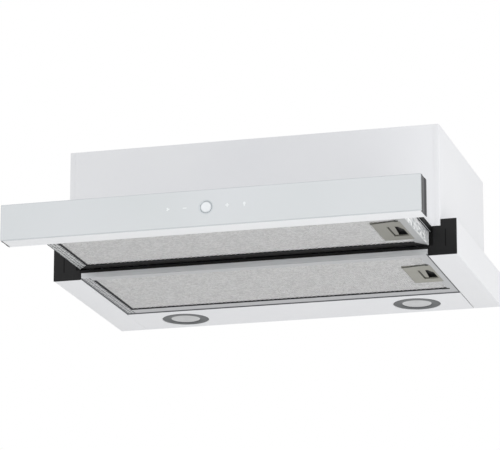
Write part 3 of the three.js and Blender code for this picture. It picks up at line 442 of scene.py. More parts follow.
view = {
    "place": (1.18159, -4.31349, -1.15057),  # metres: in front, to the right and below
    "turn": 15.51367,                        # degrees to the left
    "tilt": 15.33135,                        # degrees up
    "lens": 231.314,
    "sensor": 36,
    "reach": 60,                             # metres
}
lens = bpy.data.cameras.new("camera")
lens.lens = view["lens"]
lens.sensor_width = view["sensor"]
lens.clip_end = view["reach"]
camera = newPiece("camera", lens)
camera.location = view["place"]
camera.rotation_euler = (math.radians(90 + view["tilt"]), 0, math.radians(view["turn"]))
scene.camera = camera
scene.view_settings.view_transform = "Standard"

studio = {
    "ambient": 0.80,      # what a surface receives from all round
    "floorLevel": -1.7,   # metres under the hood, which hangs in its cabinet
    "floorSize": 60.0,
    "floorTone": "#F0F0F0",
    "lamps": [            # place, aim, size, watts
        ((5.3, -2.7, 2.8), (0.1, 0.0, 0.1), 3.2, 57),
        ((-2.8, -3.2, 1.2), (0.0, -0.1, 0.0), 2.6, 17),
        ((1.0, -0.9, -1.5), (0.1, 0.0, 0.0), 1.8, 17),
    ],
}


def lightSurroundings():
    # the camera and gloss see plain white, and every surface receives the ambient light
    world = bpy.data.worlds.new("whiteStudio")
    world.use_nodes = True
    scene.world = world
    tree = world.node_tree
    tree.nodes.clear()
    rays = add(tree, "ShaderNodeLightPath").outputs
    seen = rays["Is Camera Ray"]
    for kind in ("Is Glossy Ray", "Is Transmission Ray"):
        seen = add(tree, "ShaderNodeMath", {0: seen, 1: rays[kind]}, operation="MAXIMUM").outputs[0]
    lights = [add(tree, "ShaderNodeBackground", {"Color": (1, 1, 1, 1), "Strength": strength}).outputs[0]
              for strength in (studio["ambient"], 1.0)]
    mix = add(tree, "ShaderNodeMixShader", {0: seen, 1: lights[0], 2: lights[1]})
    add(tree, "ShaderNodeOutputWorld", {"Surface": mix.outputs[0]})


def layFloor():
    half = studio["floorSize"] / 2
    u = np.linspace(-half, half, 5)
    points = np.stack([*np.meshgrid(u, u, indexing="ij"), np.full((5, 5), studio["floorLevel"])], -1)
    floor = gridPiece("studioFloor", points)
    material, tree, shader = startMaterial("paleStudioFloor", roughness=0.8)[:3]
    shader.inputs["Base Color"].default_value = linear(studio["floorTone"])
    # seen from below the sheet is clear, so that low views look past it
    under = add(tree, "ShaderNodeNewGeometry").outputs["Backfacing"]
    clear = add(tree, "ShaderNodeBsdfTransparent")
    sheet = add(tree, "ShaderNodeMixShader", {0: under, 1: shader.outputs[0], 2: clear.outputs[0]})
    tree.links.new(sheet.outputs[0], tree.nodes["Material Output"].inputs["Surface"])
    floor.data.materials.append(material)


def hangLamp(number, place, aim, size, watts):
    data = bpy.data.lights.new(f"softbox{number}", "AREA")
    data.size = size
    data.energy = watts
    lamp = newPiece(f"softbox{number}", data)
    lamp.location = place
    lamp.rotation_euler = (Vector(aim) - Vector(place)).to_track_quat("-Z", "Y").to_euler()


lightSurroundings()
layFloor()
for number, lamp in enumerate(studio["lamps"]):
    hangLamp(number, *lamp)
print("camera and lights placed")


# ---- upper box

box = metres({
    "sheet": 1.2,
    "fold": 2.0,    # outer radius of a bend
    "edge": 0.1,    # broken cut edges
    "seam": 0.06,   # hairline between the front and a side
})


def sidePanel(word, side):
    # a U of sheet seen from above, carried up: the folds are round, the cut edges only broken
    node = f"side_panel_{word}"
    low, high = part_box(node)
    wall, lip = outerInner(node, side)
    t, fold, edge = box["sheet"], box["fold"], box["edge"]
    inner = wall - side * t
    corners = [(wall, low.y), (wall, high.y), (lip, high.y), (lip, high.y - t), (inner, high.y - t),
               (inner, low.y + t), (lip, low.y + t), (lip, low.y)]
    outline = rounded(corners, [fold, fold, edge, edge, fold - t, fold - t, edge, edge])
    piece = extruded(f"boxSide_{word}", outline, "z", low.z, high.z)
    dress(piece, whitePaint, "housing", "white_paint", node, bevel=0.08)


def facePanel(node, name):
    # flat sheet that meets the side panels' folded edges along a hairline seam
    low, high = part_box(node)
    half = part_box("side_panel_right")[0].x - box["seam"]
    outline = rounded(rectangle(-half, half, low.y, high.y), box["edge"])
    piece = extruded(name, outline, "z", low.z, high.z)
    dress(piece, whitePaint, "housing", "white_paint", node, bevel=0.08)


for word, side in sides:
    sidePanel(word, side)
facePanel("front_panel", "boxFront")
facePanel("back_panel", "boxBack")
softened("top_plate", "boxTop", whitePaint, "white_paint", 0.4)
print("upper box dressed")


# ---- tray

tray = metres({
    "sheet": 1.2,
    "fold": 2.0,
    "edge": 0.35,
    "seam": 0.5,                         # open joint at the lamp panel's right end
    "foldShade": 0.5,                    # depth of the shaded fold along the panel's front
    "groove": (24.5, 25.9, 12.0, 37.0),  # on a guide cap: from its inner edge, then heights
    "slot": (1.7, 7.2, 14.0, 33.5),
    "markCorner": 0.4,
    "markProud": 0.03,
    "markSunk": 0.1,
})


def traySide(word, side):
    # strip, wall and ledge as one bent sheet, seen from the front and carried to the back
    node = f"tray_side_{word}"
    low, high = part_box(node)
    wall, strip = outerInner(node, side)
    t, fold, edge = tray["sheet"], tray["fold"], tray["edge"]
    ledge = side * (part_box("side_panel_right")[1].x + seatGap)
    inner = wall - side * t
    corners = [(strip, low.z), (wall, low.z), (wall, high.z), (ledge, high.z), (ledge, high.z - t),
               (inner, high.z - t), (inner, low.z + t), (strip, low.z + t)]
    outline = rounded(corners, [edge, fold, fold, edge, edge, fold - t, fold - t, edge])
    piece = extruded(f"trayWall_{word}", outline, "y", low.y, high.y)
    dress(piece, (whitePaint, grooveShade), "housing", "white_paint", node, bevel=0.25)
    if side > 0:
        # the strip's cut edge beside the filter lies in shade, a little past its rounding
        toneFaces(piece, lambda centres, normals: centres[:, 0] < strip + 1.1 * edge)


def capMarks(word, side):
    # on the cap's front, near black marks painted as the shade of a groove under the box's corner and of
    # the slot for the drawer wall's flange
    node = f"guide_cap_{word}"
    low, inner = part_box(node)[0], outerInner(node, side)[1]
    marks = []
    for name in ("groove", "slot"):
        x0, x1, z0, z1 = tray[name]
        x0, x1 = sorted((inner + side * x0, inner + side * x1))
        outline = rounded(rectangle(x0, x1, low.z + z0, low.z + z1), tray["markCorner"])
        marks.append(extruded(name, outline, "y", low.y - tray["markProud"], low.y + tray["markSunk"]))
    dress(joined(f"capMarks_{word}", marks), shadedBlackNylon, "housing", "black_plastic")


def lampPanel():
    # drawn in at the right by an open seam; the fold along its front is painted grey as its shade
    low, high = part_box("lamp_panel")
    piece = softened("lamp_panel", "lampPanel", (whitePaint, gapShadeGrey), "white_paint", 0.25)
    places = np.empty(len(piece.data.vertices) * 3)
    piece.data.vertices.foreach_get("co", places)
    places[::3] = np.minimum(places[::3], high.x - tray["seam"])
    piece.data.vertices.foreach_set("co", places)
    front = low.y + tray["foldShade"]
    toneFaces(piece, lambda centres, normals: (normals[:, 1] < -0.8) & (centres[:, 1] < front))


for word, side in sides:
    traySide(word, side)
softened("tray_rear", "trayBack", whitePaint, "white_paint", 0.4)
lampPanel()
for word, side in sides:
    softened(f"guide_cap_{word}", f"guideCap_{word}", blackPlastic, "black_plastic", 0.5)
    capMarks(word, side)
softened("cross_bar", "crossBar", blackPlastic, "black_plastic", 0.8)
for word, side in sides:
    softened(f"slide_channel_{word}", f"slideChannel_{word}", zinc, "zinc_steel", 0.25)
print("tray dressed")


# ---- drawer and its runners

drawer = metres({
    "strip": 0.8,              # width of the wear strip
    "stripFromInside": 2.2,
    "stripProud": 0.1,
    "stripSunk": 0.2,
    "stripCorner": 0.1,
    "stripShort": (1.0, 2.0),  # it stops short of the runner's front and back ends
    "hem": 0.8,                # height of the hem
    "hemGap": 0.1,             # from the front filter's frame
    "hemCorner": 0.2,
    "hemShort": 0.5,
})


def runnerStrip(word, side):
    # bright steel wear strip let into the runner's underside
    node = f"runner_{word}"
    low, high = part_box(node)
    x = outerInner(node, side)[1] + side * drawer["stripFromInside"]
    half, (front, back) = drawer["strip"] / 2, drawer["stripShort"]
    under, over = low.z - drawer["stripProud"], low.z + drawer["stripSunk"]
    outline = rounded(rectangle(x - half, x + half, under, over), drawer["stripCorner"])
    piece = extruded(f"wearStrip_{word}", outline, "y", low.y + front, high.y - back)
    dress(piece, frameSide, "drawer", "zinc_steel")


def drawerHem():
    # the right wall's lower edge is folded in towards the filter
    low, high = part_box("drawer_side_right")
    edge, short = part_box("front_filter_frame")[1].x + drawer["hemGap"], drawer["hemShort"]
    outline = rounded(rectangle(edge, low.x + seatGap, low.z, low.z + drawer["hem"]), drawer["hemCorner"])
    piece = extruded("drawerHem", outline, "y", low.y + short, high.y - short)
    dress(piece, frameSide, "drawer", "zinc_steel")


# the runners' black nylon is painted darker than elsewhere, as shade
for word, side in sides:
    softened(f"runner_{word}", f"runner_{word}", shadedBlackNylon, "black_plastic", 0.6)
    runnerStrip(word, side)
# the left wall's sheared lower edge is painted near black as shade, the right one shows its hem
wall = softened("drawer_side_left", "drawerWall_left", (brightZinc, shadedCutEdge), "zinc_steel", 0.15)
toneFaces(wall, lambda centres, normals: normals[:, 2] < -0.8)
softened("drawer_side_right", "drawerWall_right", brightZinc, "zinc_steel", 0.25)
drawerHem()
softened("drawer_cover", "drawerCover", whitePaint, "white_paint", 0.35)
softened("drawer_front_rail", "drawerRail", zinc, "zinc_steel", 0.3)
print("drawer dressed")


# ---- fascia

fascia = metres({
    "glassSide": 0.1,    # faces this near the glass's ends show the glass's dark side
    "capGroove": 0.5,    # depth of the grooves in an end cap
    "ringChamfer": 0.6,
    "ringLip": 1.6,      # in the glass's colour, over the ground edge of its bore
    "lipSheet": 0.15,
    "lipProud": 0.02,
    "buttonEdge": 0.5,
    "buttonDish": 0.9,
    "buttonCore": 6.4,   # radius of the bright middle
    "buttonSkirt": 2.5,
    "buttonStem": 3.0,   # radius
    "markHeight": 29.2,  # over the underside
    "markPlaces": (-56.0, -32.0, 28.3, 52.5),
    "markSize": 2.5,     # half of a mark's height
    "markProud": 0.04,
    "markSunk": 0.1,
})


def fasciaGlass():
    # enamelled front with a ground edge all round, which the bevel adds, and dark ends
    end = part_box("fascia_glass")[1].x - fascia["glassSide"]
    glass = softened("fascia_glass", "fasciaGlass", (glassFront, groundEdge, glassSide), "white_glass", 0.9)
    glass.modifiers["softEdges"].material = 1
    toneFaces(glass, lambda centres, normals: np.where(np.abs(centres[:, 0]) > end, 2, 0))


def endCap(word, side):
    # a plate with upright bands, seen from above and carried up; the second and last are painted paler, as
    # the light on the cap's profile
    node = f"fascia_end_cap_{word}"
    low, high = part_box(node)
    outer, inner = outerInner(node, side)
    depth = side * fascia["capGroove"]
    shares = (0.0, 0.13, 0.16, 0.60, 0.63, 0.85, 0.88, 1.0)  # from the glass to the back
    drops = (0, 0, 1, 1, 0, 0, 1, 1)
    tones, bandEnds = np.array([0, 1, 0, 2]), (0.15, 0.61, 0.87)
    long = high.y - low.y
    face = [(outer - depth * drop, low.y + long * share) for share, drop in zip(shares, drops)]
    outline = [(inner, low.y), *face, (inner, high.y)]
    piece = extruded(f"fasciaCap_{word}", outline, "z", low.z, high.z)
    dress(piece, (capPlastic, capLitBand, capLitEdge), "drawer", "grey_plastic", node, bevel=0.15)
    toneFaces(piece, lambda centres, normals: tones[np.digitize((centres[:, 1] - low.y) / long, bandEnds)])


def controlRing():
    # the ring, with a thin lip over the glass's bore
    low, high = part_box("button_ring")
    buttonLow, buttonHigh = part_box("power_button")
    middle, chamfer = (low + high) / 2, fascia["ringChamfer"]
    outer, inner = (high.x - low.x) / 2, (buttonHigh.x - buttonLow.x) / 2 + seatGap
    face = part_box("fascia_glass")[0].y - fascia["lipProud"]
    lip, back = outer + fascia["ringLip"], face + fascia["lipSheet"]
    profile = [(outer, high.y), (outer, back), (lip, back), (lip, face), (outer, face),
               (inner + chamfer, face), (inner, face + chamfer), (inner, high.y)]
    piece = turned("buttonRing", profile, (middle.x, 0, middle.z), "y", ring=True)
    dress(piece, (ringMetal, glassFront), "drawer", "ring_metal", "button_ring")
    toneRim(piece, middle, outer)


def powerButton():
    # dished face: depth = dish (1 - (r / R)^2), then a rounded rim and the stem behind
    low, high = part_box("power_button")
    middle, radius, edge = (low + high) / 2, (high.x - low.x) / 2, fascia["buttonEdge"]
    r = np.linspace(0, 1, 12)
    dish = np.column_stack([r * (radius - 1.4 * edge), low.y + fascia["buttonDish"] * (1 - r ** 2)])
    t = np.linspace(0, np.pi / 2, 6)[1:]
    rim = np.column_stack([radius - edge + edge * np.sin(t), low.y + edge * (1 - np.cos(t))])
    skirt, stem = low.y + fascia["buttonSkirt"], fascia["buttonStem"]
    back = [(radius, skirt), (stem, skirt), (stem, high.y), (0, high.y)]
    piece = turned("powerButton", np.vstack([dish, rim, back]), (middle.x, 0, middle.z), "y")
    dress(piece, (buttonPlastic, buttonRim), "power_button", "button_plastic", "power_button")
    toneRim(piece, middle, fascia["buttonCore"])


def touchMarks():
    # four plain signs of screen ink, drawn in halves of their height: fan, less, more and lamp
    t = np.linspace(0, 2 * np.pi, 60, endpoint=False)
    petals = 0.35 + 0.65 * np.abs(np.cos(1.5 * t))
    fan = np.column_stack([petals * np.cos(t), petals * np.sin(t)])
    arm, tip, corner = 0.28, 1.1, 0.2
    less = rounded(rectangle(-tip, tip, -arm, arm), corner)
    more = [(-arm, -tip), (arm, -tip), (arm, -arm), (tip, -arm), (tip, arm), (arm, arm), (arm, tip),
            (-arm, tip), (-arm, arm), (-tip, arm), (-tip, -arm), (-arm, -arm)]
    # the lamp is a circle of 0.8, whose lowest part is narrowed and drawn down to a foot
    foot = np.sin(t) < -0.75
    lamp = np.column_stack([
        0.8 * np.where(foot, 0.55, 1.0) * np.cos(t), 0.35 + 0.8 * np.sin(t) - 0.9 * foot])
    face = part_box("fascia_glass")[0].y
    marks = []
    for x, sign in zip(fascia["markPlaces"], (fan, less, more, lamp)):
        outline = np.asarray(sign) * fascia["markSize"] + (x, fascia["markHeight"])
        marks.append(extruded("sign", outline, "y", face - fascia["markProud"], face + fascia["markSunk"]))
    dress(joined("touchMarks", marks), markInk, "drawer", "button_plastic")


fasciaGlass()
softened("fascia_profile", "fasciaProfile", profilePaint, "white_aluminium", 0.9)
for word, side in sides:
    endCap(word, side)
controlRing()
powerButton()
touchMarks()
softened("control_frame", "controlFrame", blackPlastic, "black_plastic", 0.3)
softened("control_board", "controlBoard", boardGreen, "circuit_board", 0.15)
print("fascia dressed")


# ---- grease filters

weave = metres({
    "cellLong": 6.6,      # along x, bond to bond
    "cellShort": 3.8,     # along y
    "strandWidth": 0.95,
    "strandDepth": 0.55,
    "tilt": 0.22,         # how far the strands stand in and out
    "coreInset": 1.3,     # pressed layers inside the outer mesh
    "corePitch": 9.0,
    "coreWave": 0.5,
    "coreStep": 2.2,      # between the points of its grid
    "frameGap": 0.4,      # between the mesh and its frame
    "latchGap": 0.6,
})
groove = metres({
    "side": 2.6,          # width along the hinge side
    "back": 4.2,          # and along the rear filter's back
    "depth": 1.4,         # from the frame's face
    "meshInset": 1.0,     # from the frame's face to the mesh
    "floor": 0.6,
    "overlap": 0.2,       # of its floor under the frame
    "wall": 1.0,          # frame walls this near the pad lie in shade
    "slot": (8.0, 3.8, 1.2, 1.4),  # past the pad's corner left and right, and over the groove's edges
    "slotCorner": 0.6,
    "slotSheet": 0.2,
    "proud": 0.04,
    "shadeStrip": 2.0,          # width of the painted shade strip round the rear filter
    "shadeStripSheet": 0.9,
})


def strandRows(x0, x1, y0, y1, z, face):
    # expanded metal: row j runs along x at y0 + j c / 2 and weaves as (-1)^j (c / 4) w(x),
    # where w is a trapezoid wave with short flats, the bonds to the next row
    short, reach = weave["cellShort"], 0.92  # of the way to the next row
    cells = max(1, int(round((x1 - x0) / weave["cellLong"])))
    rows = max(2, int(round((y1 - y0) / (short / 2))))
    phase = (np.arange(cells)[:, None] + np.array([0.0, 0.2, 0.5, 0.7])).ravel()
    x = np.append(x0 + phase * (x1 - x0) / cells, x1)
    wave = np.append(np.tile([1.0, 1.0, -1.0, -1.0], cells), 1.0)
    j = np.arange(rows)[:, None]
    swing = np.where(j % 2 == 0, 1.0, -1.0) * wave
    y = y0 + (j + 0.5) * (y1 - y0) / rows + swing * short / 4 * reach
    height = z + face * weave["tilt"] * swing
    across = np.array([-0.5, 0.5, 0.0]) * weave["strandWidth"]
    down = np.array([0.0, 0.0, -face]) * weave["strandDepth"]
    return np.stack(np.broadcast_arrays(x[:, None], y[..., None] + across, height[..., None] + down), -1)


def strandFaces(rows, length, offset):
    # three quads round each step of a strand, and a triangle at either end
    steps = np.arange(rows)[:, None, None] * length + np.arange(length - 1)[None, :, None]
    base = offset + steps * 3
    k = np.arange(3)
    a, b = base + k, base + (k + 1) % 3
    quads = np.stack([a, b, b + 3, a + 3], -1).reshape(-1, 4)
    start = offset + np.arange(rows) * length * 3
    end = start + (length - 1) * 3
    near, far = np.stack([start + 2, start + 1, start], -1), np.stack([end, end + 1, end + 2], -1)
    return quads.tolist() + near.tolist() + far.tolist()


def strandLayer(name, patches, z, face):
    # one layer of mesh over several patches, so that it stops round the latch
    points, faces, count = [], [], 0
    for patch in patches:
        part = strandRows(*patch, z, face)
        faces += strandFaces(part.shape[0], part.shape[1], count)
        points.append(part.reshape(-1, 3))
        count += len(points[-1])
    layer = bpy.data.meshes.new(name)
    layer.from_pydata(np.vstack(points).tolist(), [], faces)
    form = bmesh.new()
    form.from_mesh(layer)
    bmesh.ops.recalc_face_normals(form, faces=form.faces)
    form.to_mesh(layer)
    form.free()
    return newPiece(name, layer)


def closedSheet(name, top, bottom):
    # two grids of the same size, joined round their rims
    rows, columns = top.shape[:2]
    rim = np.concatenate([np.arange(columns), np.arange(1, rows) * columns + columns - 1,
                          (rows - 1) * columns + np.arange(columns - 1)[::-1],
                          np.arange(1, rows - 1)[::-1] * columns])
    band = np.stack([top.reshape(-1, 3)[rim], bottom.reshape(-1, 3)[rim]])
    whole = joined(name, [gridPiece(name, top), gridPiece(name, bottom),
                          gridPiece(name, band, wrapColumns=True)])
    closeMesh(whole)
    return whole


def meshCore(name, patches, z, half):
    # the pressed layers inside: z + wave sin(2 pi x / p) sin(2 pi y / p), half as thick each way
    turns = 2 * np.pi / weave["corePitch"]
    sheets = []
    for x0, x1, y0, y1 in patches:
        across, along = (max(2, int(length / weave["coreStep"])) for length in (x1 - x0, y1 - y0))
        x, y = np.meshgrid(np.linspace(x0, x1, across), np.linspace(y0, y1, along), indexing="ij")
        height = z + weave["coreWave"] * np.sin(turns * x) * np.sin(turns * y)
        top, bottom = (np.stack([x, y, height + way * half], -1) for way in (1, -1))
        sheets.append(closedSheet("sheet", top, bottom))
    return joined(name, sheets)


def filterMesh(word, x0, x1, y0, y1):
    # two layers of expanded sheet over a pressed core
    low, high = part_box(f"{word}_filter_pad")
    plateLow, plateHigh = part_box(f"{word}_latch_plate")
    body, gap, half = f"{word}_filter", weave["latchGap"], weave["strandDepth"] / 2
    front, back = plateLow.y - gap, plateHigh.y + gap
    patches = [(x0, x1, y0, front), (x0, plateLow.x - gap, front, back), (x0, x1, back, y1)]
    lower = strandLayer(f"{word}MeshUnder", patches, low.z + half, -1)
    dress(lower, strandMetal, body, "filter_mesh", f"{word}_filter_pad")
    upper = strandLayer(f"{word}MeshOver", patches, high.z - half, 1)
    dress(upper, strandMetal, body, "filter_mesh")
    thick = (high.z - low.z) / 2 - weave["coreInset"]
    core = meshCore(f"{word}MeshCore", patches, (low.z + high.z) / 2, thick)
    dress(core, coreMetal, body, "filter_mesh")


def filterFrame(word, frameMetal, low, high):
    # bright on its inner faces, with the walls beside the groove painted dark as shade
    ring = softened(f"{word}_filter_frame", f"{word}FilterFrame", (frameMetal, frameSide, grooveShade),
                    "filter_aluminium", 0.6)
    wall, atBack = groove["wall"], word == "rear"
    toneFaces(ring, lambda centres, normals: np.select(
        [(np.abs(centres[:, 0] - low.x) < wall) | atBack & (np.abs(centres[:, 1] - high.y) < wall),
         normals[:, 2] > -0.8], [2, 1], 0))


def rearTrim(y1, high):
    # the groove along the back ends in a short slot punched in the frame's face; the slot is not cut, a
    # thin black sheet on the face paints its shade
    frameLow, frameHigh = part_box("rear_filter_frame")
    face, (left, right, front, back) = frameLow.z - groove["proud"], groove["slot"]
    slot = rectangle(high.x - left, high.x + right, y1 - front, high.y + back)
    slot = rounded(slot, groove["slotCorner"])
    piece = extruded("grooveEnd", slot, "z", face, face + groove["slotSheet"])
    dress(piece, latchShade, "rear_filter", "black_plastic")
    # grey strip painted as the shade in the gaps along the frame's left, back and right edges, inside its
    # hinge tabs
    wide, x, y, front = groove["shadeStrip"], frameHigh.x, frameHigh.y, frameLow.y
    strip = [(-x, front), (wide - x, front), (wide - x, y - wide), (x - wide, y - wide),
             (x - wide, front), (x, front), (x, y), (-x, y)]
    piece = extruded("filterEdgeShade", strip, "z", face, face + groove["shadeStripSheet"])
    dress(piece, gapShadeGrey, "rear_filter", "black_plastic")


def greaseFilter(word, frameMetal):
    low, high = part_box(f"{word}_filter_pad")
    gap, overlap = weave["frameGap"], groove["overlap"]
    x0, x1, y0 = low.x + groove["side"], high.x, low.y + gap
    y1 = high.y - (groove["back"] if word == "rear" else gap)
    filterMesh(word, x0, x1, y0, y1)
    filterFrame(word, frameMetal, low, high)
    # floor of the groove, painted dark as its shade: a bar along the hinge side, and at the rear one that
    # turns along the back
    left, back, z = low.x - overlap, high.y + overlap, low.z - groove["meshInset"] + groove["depth"]
    floor = [(left, y0), (x0, y0), (x0, high.y), (left, high.y)]
    if word == "rear":
        floor = [(left, y0), (x0, y0), (x0, y1), (x1, y1), (x1, back), (left, back)]
    piece = extruded(f"{word}FilterGroove", floor, "z", z, z + groove["floor"])
    dress(piece, grooveShade, f"{word}_filter", "black_plastic")
    if word == "rear":
        rearTrim(y1, high)


greaseFilter("front", frontFrameMetal)
greaseFilter("rear", rearFrameMetal)
softened("front_filter_seal", "filterSeal", softBlack, "black_plastic", 0.9)
print("filters dressed")


# ---- filter latches

latch = metres({
    "windowInset": 3.0,        # from the plate's right edge
    "windowWidth": 21.0,
    "windowHalf": 25.0,
    "windowShift": 3.0,        # behind the plate's middle
    "rim": 0.8,
    "rimCorners": (0.8, 2.0),  # inside and outside
    "rimProud": 0.12,
    "rimSunk": 0.2,
    "wellFrom": 5.0,           # from the window's left edge
    "wellInset": 0.4,
    "wellCorner": 0.8,
    "wellUnder": 0.5,          # under the slider's top
    "wellSheet": 0.3,
    "stroke": 1.3,             # width of the dark gap round the thumb tab
    "strokeFrom": 0.3,         # from the window's left and back edges
    "strokeFront": 4.0,        # from its front edge
    "strokeHole": 13.8,        # from its right edge, where the finger hole starts
    "strokeTurn": 1.4,
    "strokeProud": 0.06,
    "strokeSunk": 0.1,
    "wire": 1.0,               # radius of the wire clip along the plate's front edge
    "wireSlant": 3.5,
    "wireEye": 2.6,
    "wireShort": 7.0,          # from the plate's right edge
    "wireDrop": 0.4,
    "pocket": (5.0, 13.0),     # the finger hole's walls, from the slider's left and right ends
    "pocketHalf": 25.5,
    "travel": 6.0,
})
latchTone = {"front": shadedLatch, "rear": latchPlastic}


def latchWindow(word):
    # left, right, front and back edge of the window in the plate
    low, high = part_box(f"{word}_latch_plate")
    middle, right = (low.y + high.y) / 2 + latch["windowShift"], high.x - latch["windowInset"]
    return right - latch["windowWidth"], right, middle - latch["windowHalf"], middle + latch["windowHalf"]


def latchRim(word):
    # raised rim round the window: an outer and an inner loop at two heights
    x0, x1, y0, y1 = latchWindow(word)
    face, rim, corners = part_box(f"{word}_latch_plate")[0].z, latch["rim"], latch["rimCorners"]
    inner = rounded(rectangle(x0, x1, y0, y1), corners[0])
    outer = rounded(rectangle(x0 - rim, x1 + rim, y0 - rim, y1 + rim), corners[1])
    bottom, top = face - latch["rimProud"], face + latch["rimSunk"]
    loops = [(inner, top), (inner, bottom), (outer, bottom), (outer, top)]
    rows = [np.column_stack([loop, np.full(len(loop), level)]) for loop, level in loops]
    piece = gridPiece(f"{word}LatchRim", np.stack(rows), wrapRows=True, wrapColumns=True)
    closeMesh(piece)
    dress(piece, latchTone[word], f"{word}_filter", "latch_plastic", bevel=0.06)


def latchShadows(word):
    # black floor under the finger hole, painted as the hole's shade
    x0, x1, y0, y1 = latchWindow(word)
    slideLow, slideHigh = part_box(f"{word}_latch_slider")
    inset, deep = latch["wellInset"], slideHigh.z - latch["wellUnder"]
    floor = rectangle(x0 + latch["wellFrom"], x1 - inset, y0 + inset, y1 - inset)
    floor = rounded(floor, latch["wellCorner"])
    piece = extruded(f"{word}LatchWell", floor, "z", deep, deep + latch["wellSheet"])
    dress(piece, latchShade, f"{word}_latch", "black_plastic")
    # black strip painted as the shade of the gap round the thumb tab: up its left side, then round the
    # corner to the finger hole
    line, turn = latch["stroke"], latch["strokeTurn"]
    a, far = x0 + latch["strokeFrom"], y1 - latch["strokeFrom"]
    b, near, hole = a + line, y0 + latch["strokeFront"], x1 - latch["strokeHole"]
    stroke = [(a, near), (b, near), (b, far - line - turn), (b + turn, far - line), (hole, far - line),
              (hole, far), (a + turn, far), (a, far - turn)]
    under, over = slideLow.z - latch["strokeProud"], slideLow.z + latch["strokeSunk"]
    piece = extruded(f"{word}LatchStroke", stroke, "z", under, over)
    dress(piece, latchShade, f"{word}_latch", "black_plastic")


def wireClip(word):
    # a flattened wire laid over the plate's front edge that ends in an eye, each a tube along its own path
    low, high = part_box(f"{word}_latch_plate")
    r, eye, slant = latch["wire"], latch["wireEye"], latch["wireSlant"]
    t = np.linspace(0, 2 * np.pi, 12, endpoint=False)
    z = low.z - latch["wireDrop"] + 0.6 * r * np.sin(t)
    s = np.linspace(0, 1, 8)[:, None]
    x, y = low.x + (high.x - low.x - latch["wireShort"]) * s, low.y + slant * (1 - 2 * s)
    line = np.broadcast_arrays(x, y + r * np.cos(t), z)
    rod = gridPiece("rod", np.stack(line, -1), wrapColumns=True, caps=True)
    s = np.linspace(0, 2 * np.pi, 28, endpoint=False)[:, None]
    reach = eye + r * np.cos(t)
    loop = np.broadcast_arrays(x[-1, 0] + eye + reach * np.cos(s), y[-1, 0] + reach * np.sin(s), z)
    ring = gridPiece("ring", np.stack(loop, -1), wrapRows=True, wrapColumns=True)
    for part in (rod, ring):
        closeMesh(part)
    dress(joined(f"{word}WireClip", [rod, ring]), wireSteel, f"{word}_filter", "bright_steel")


def blackPocket(slider, word):
    # the finger hole's upright walls are painted black as shade, the slider's own sides are not
    low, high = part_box(f"{word}_latch_slider")
    left, right = low.x + latch["pocket"][0], high.x - latch["pocket"][1]
    middle = (low.y + high.y) / 2
    toneFaces(slider, lambda centres, normals: (np.abs(normals[:, 2]) < 0.5) & (centres[:, 0] > left)
              & (centres[:, 0] < right) & (np.abs(centres[:, 1] - middle) < latch["pocketHalf"]))


def shorten(spring):
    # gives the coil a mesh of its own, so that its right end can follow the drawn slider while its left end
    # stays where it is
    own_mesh(spring)


for word, tone in latchTone.items():
    softened(f"{word}_latch_plate", f"{word}Latch_plate", tone, "latch_plastic", 0.35)
    tones = (tone, latchShade)
    slider = softened(f"{word}_latch_slider", f"{word}Latch_slider", tones, "latch_plastic", 0.3)
    blackPocket(slider, word)
    spring = softened(f"{word}_latch_spring", f"{word}Latch_spring", steel, "bright_steel", 0.12)
    shorten(spring)
    latchRim(word)
    latchShadows(word)
    wireClip(word)
print("latches dressed")


# ---- lamps

lamps = metres({
    "round": 0.9,
    "rim": 2.5,                 # hidden behind the panel
    "shelf": 1.5,               # its height over the underside
    "boreChamfer": (0.8, 0.5),  # across, then up
    "lensDome": 0.5,
    "lensRim": 1.8,
    "ripple": 0.07,
    "ripplePitch": 1.5,
})


def lampRing(word):
    # spun ring, seen in half: a chamfered bore, a round lip and a rim behind the panel
    low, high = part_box(f"lamp_bezel_{word}")
    lensLow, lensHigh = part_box(f"lamp_lens_{word}")
    middle, (across, up) = (low + high) / 2, lamps["boreChamfer"]
    rim, bore = (high.x - low.x) / 2, (lensHigh.x - lensLow.x) / 2 + seatGap
    r, face, shelf = lamps["round"], rim - lamps["rim"], lamps["shelf"]
    t = np.linspace(0, np.pi / 2, 6)
    edge = np.column_stack([face - r + r * np.sin(t), low.z + r * (1 - np.cos(t))])
    profile = np.vstack([[(bore, high.z), (bore, low.z + up), (bore + across, low.z)], edge,
                         [(face, shelf), (rim, shelf), (rim, high.z)]])
    piece = turned(f"lampRing_{word}", profile, (middle.x, middle.y, 0), ring=True)
    dress(piece, bezelMetal, "housing", "lamp_metal", f"lamp_bezel_{word}")


def lampLens(word):
    # frosted dome with rings: z = z0 + dome (1 - 0.9 (1 - q^2)) + ripple cos(2 pi r / p), q = r / R
    low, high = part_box(f"lamp_lens_{word}")
    middle, radius = (low + high) / 2, (high.x - low.x) / 2
    q = np.linspace(0, 1, 90)
    ripple = lamps["ripple"] * np.cos(2 * np.pi * q * radius / lamps["ripplePitch"])
    dome = low.z + lamps["lensDome"] * (1 - 0.9 * (1 - q ** 2)) + ripple
    face = np.column_stack([q * radius, np.maximum(dome, low.z)])
    profile = np.vstack([face, [(radius, high.z), (0, high.z)]])
    piece = turned(f"lampLens_{word}", profile, (middle.x, middle.y, 0))
    dress(piece, (lensPlastic, lensRim), "housing", "lens_plastic", f"lamp_lens_{word}")
    toneRim(piece, middle, radius - lamps["lensRim"], (0, 1))


for word, side in sides:
    lampRing(word)
    lampLens(word)
    softened(f"lamp_body_{word}", f"lampBody_{word}", zinc, "lamp_metal", 0.8)
print("lamps dressed")


# ---- outlet collar, flaps and screws

